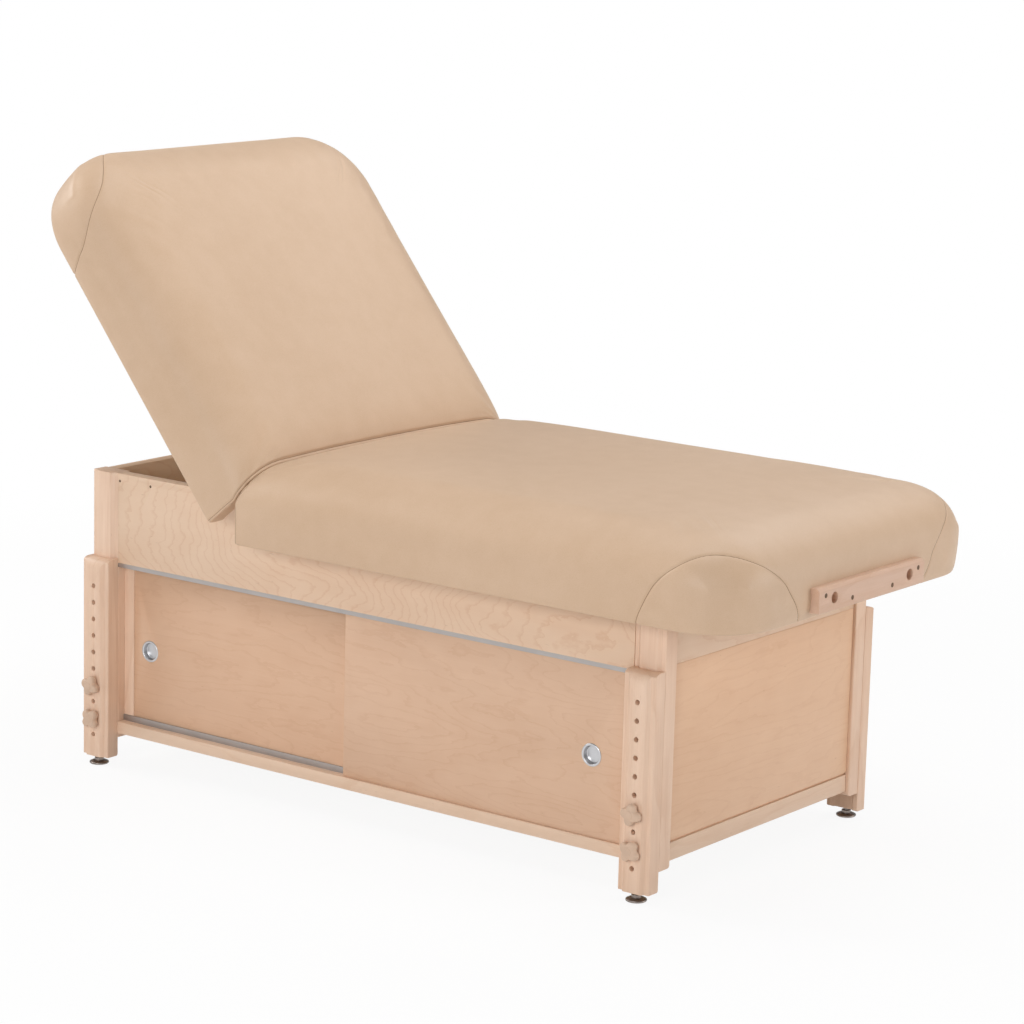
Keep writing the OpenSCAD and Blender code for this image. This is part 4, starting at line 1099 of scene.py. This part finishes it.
class HingeAndStrut(TablePiece, bpy.types.Operator):
    """Finishes the hinge, the gas strut, the inserts and the screws"""
    bl_idname = "massage_table.hinge_and_strut"
    bl_label = "Hinge and strut"

    def execute(self, context):
        for node in ("seat_hinge_leaf", "backrest_hinge_leaf", "hinge_pin",
                     "strut_lower_bracket", "strut_upper_bracket"):
            eased_copy(node, "zinc_steel", 0.0004)
        eased_copy("strut_cylinder", "strut_paint", 0.0006)
        eased_copy("strut_rod", "rod_chrome", 0.0004)
        for node in ("post_inserts", "leg_inserts"):
            coat_node(node, "insert_brass")
        coat_node("wood_screws", "screw_steel")
        return {"FINISHED"}


class CradleBlock(TablePiece, bpy.types.Operator):
    """Makes the block with the face cradle's two holes"""
    bl_idname = "massage_table.cradle_block"
    bl_label = "Cradle block"

    def execute(self, context):
        eased_copy("cradle_block", "block_maple",
                   context.scene.table_wood.edge_ease)
        return {"FINISHED"}


def soft_box(name, place, target, size, power):
    """A rectangular lamp that faces its target."""
    lamp = bpy.data.lights.new(name, "AREA")
    lamp.shape = "RECTANGLE"
    lamp.size, lamp.size_y = size
    lamp.energy = power
    item = placed(name, lamp)
    item.location = place
    item.rotation_euler = (Vector(target) - Vector(place)).to_track_quat("-Z", "Y").to_euler()


def white_to_camera(f, shade, share):
    """Mixes white into what the camera, mirrors and glass see of a stage surface."""
    rays = [f.add("ShaderNodeLightPath", out=name)
            for name in ("Is Camera Ray", "Is Glossy Ray", "Is Transmission Ray")]
    seen = rays[0] + rays[1] + rays[2]
    white = f.add("ShaderNodeEmission", None, {"Color": (1.0, 1.0, 1.0), "Strength": 1.0})
    return f.add("ShaderNodeMixShader", None,
                 {0: seen.math("MINIMUM", seen, 1.0) * share, 1: shade, 2: white})


class Stage(TablePiece, bpy.types.Operator):
    """Makes the floor, the lamps, the surroundings and the camera"""
    bl_idname = "massage_table.stage"
    bl_label = "Stage"

    def execute(self, context):
        scene = context.scene
        s = scene.table_stage
        f = Finish("stage_floor")
        plain = f.add("ShaderNodeBsdfDiffuse", None, {"Color": tuple(s.floor)})
        x, y, _ = f.parts(f.object_place)
        far = (x * x + y * y).step(1.0, 9.0)
        f.close(white_to_camera(f, plain, 0.91 + 0.09 * far))
        x, y = np.meshgrid(np.linspace(-60, 60, 5), np.linspace(-60, 60, 5), indexing="ij")
        mesh = bpy.data.meshes.new("stage_floor")
        mesh.from_pydata(grid_points(x, y, 0.0).reshape(-1, 3), [], grid_faces(5, 5).tolist())
        mesh.materials.append(f.material)
        placed("stage_floor", mesh)

        scene.world = bpy.data.worlds.new("surroundings")
        scene.world.use_nodes = True
        sky = Nodes(scene.world.node_tree)
        strength = s.ambient
        for ray, seen in (("Is Camera Ray", 1.0), ("Is Transmission Ray", 1.0),
                          ("Is Glossy Ray", s.reflected)):
            strength = sky.add("ShaderNodeMapRange", None, {
                "Value": sky.add("ShaderNodeLightPath", out=ray),
                "To Min": strength, "To Max": seen})
        sky.close(sky.add("ShaderNodeBackground", None,
                          {"Color": (1.0, 1.0, 1.0), "Strength": strength}),
                  "ShaderNodeOutputWorld")

        middle = (0.0, 0.0, 0.5)
        for name, place, size, power in (
                ("front_box", (1.0, -5.0, 2.0), (2.6, 1.8), 103.0),
                ("left_box", (-3.0, -4.2, 1.1), (2.6, 1.8), 14.0),
                ("head_box", (-3.8, -1.0, 2.6), (1.6, 1.6), 66.0),
                ("high_box", (0.0, 0.0, 4.2), (3.0, 3.0), 72.0),
                ("back_box", (0.3, 3.0, 3.4), (3.2, 1.8), 41.0),
                ("foot_box", (4.2, 2.0, 1.6), (2.0, 2.0), 68.0),
                ("low_box", (4.8, -0.8, 1.0), (2.0, 1.6), 14.0)):
            soft_box(name, place, middle, size, power * s.lamps)

        azimuth, elevation, roll = s.azimuth, s.elevation, s.roll
        back = Vector((math.sin(azimuth) * math.cos(elevation),
                       -math.cos(azimuth) * math.cos(elevation), math.sin(elevation)))
        right = Vector((math.cos(azimuth), math.sin(azimuth), 0.0))
        up = back.cross(right)
        right_rolled = math.cos(roll) * right + math.sin(roll) * up
        up_rolled = -math.sin(roll) * right + math.cos(roll) * up
        turn = Matrix((right_rolled, up_rolled, back)).transposed().to_4x4()
        camera = placed("camera", bpy.data.cameras.new("camera"))
        camera.data.sensor_width = 36.0
        camera.data.lens = s.lens
        camera.matrix_world = Matrix.Translation(s.place) @ turn
        scene.camera = camera
        scene.view_settings.view_transform = "Standard"
        return {"FINISHED"}


PIECE_OPERATORS = (SeatCover, BackrestCover, PostsAndLegs, CabinetBoards, Doors, DoorPulls,
                   Knobs, Glides, InnerFrame, HingeAndStrut, CradleBlock, Stage)
SETTINGS = {"table_upholstery": UpholsterySettings, "table_wood": WoodSettings,
            "table_hardware": HardwareSettings, "table_stage": StageSettings}


class TablePanel(bpy.types.Panel):
    """Lists the table's pieces and their sizes"""
    bl_idname = "MASSAGE_TABLE_PT_pieces"
    bl_label = "Massage table"
    bl_space_type = "VIEW_3D"
    bl_region_type = "UI"
    bl_category = "Massage table"

    def draw(self, context):
        for operator in PIECE_OPERATORS:
            self.layout.operator(operator.bl_idname)
        for name, group in SETTINGS.items():
            box = self.layout.box()
            for key in group.__annotations__:
                box.prop(getattr(context.scene, name), key)


def register():
    for item in (*SETTINGS.values(), *PIECE_OPERATORS, TablePanel):
        bpy.utils.register_class(item)
    for name, group in SETTINGS.items():
        setattr(bpy.types.Scene, name, PointerProperty(type=group))


def unregister():
    for name in SETTINGS:
        delattr(bpy.types.Scene, name)
    for item in reversed((*SETTINGS.values(), *PIECE_OPERATORS, TablePanel)):
        bpy.utils.unregister_class(item)


def main():
    """Registers the add-on and makes the pieces in order."""
    register()
    for operator in PIECE_OPERATORS:
        area, name = operator.bl_idname.split(".")
        getattr(getattr(bpy.ops, area), name)()


if __name__ == "__main__":
    main()
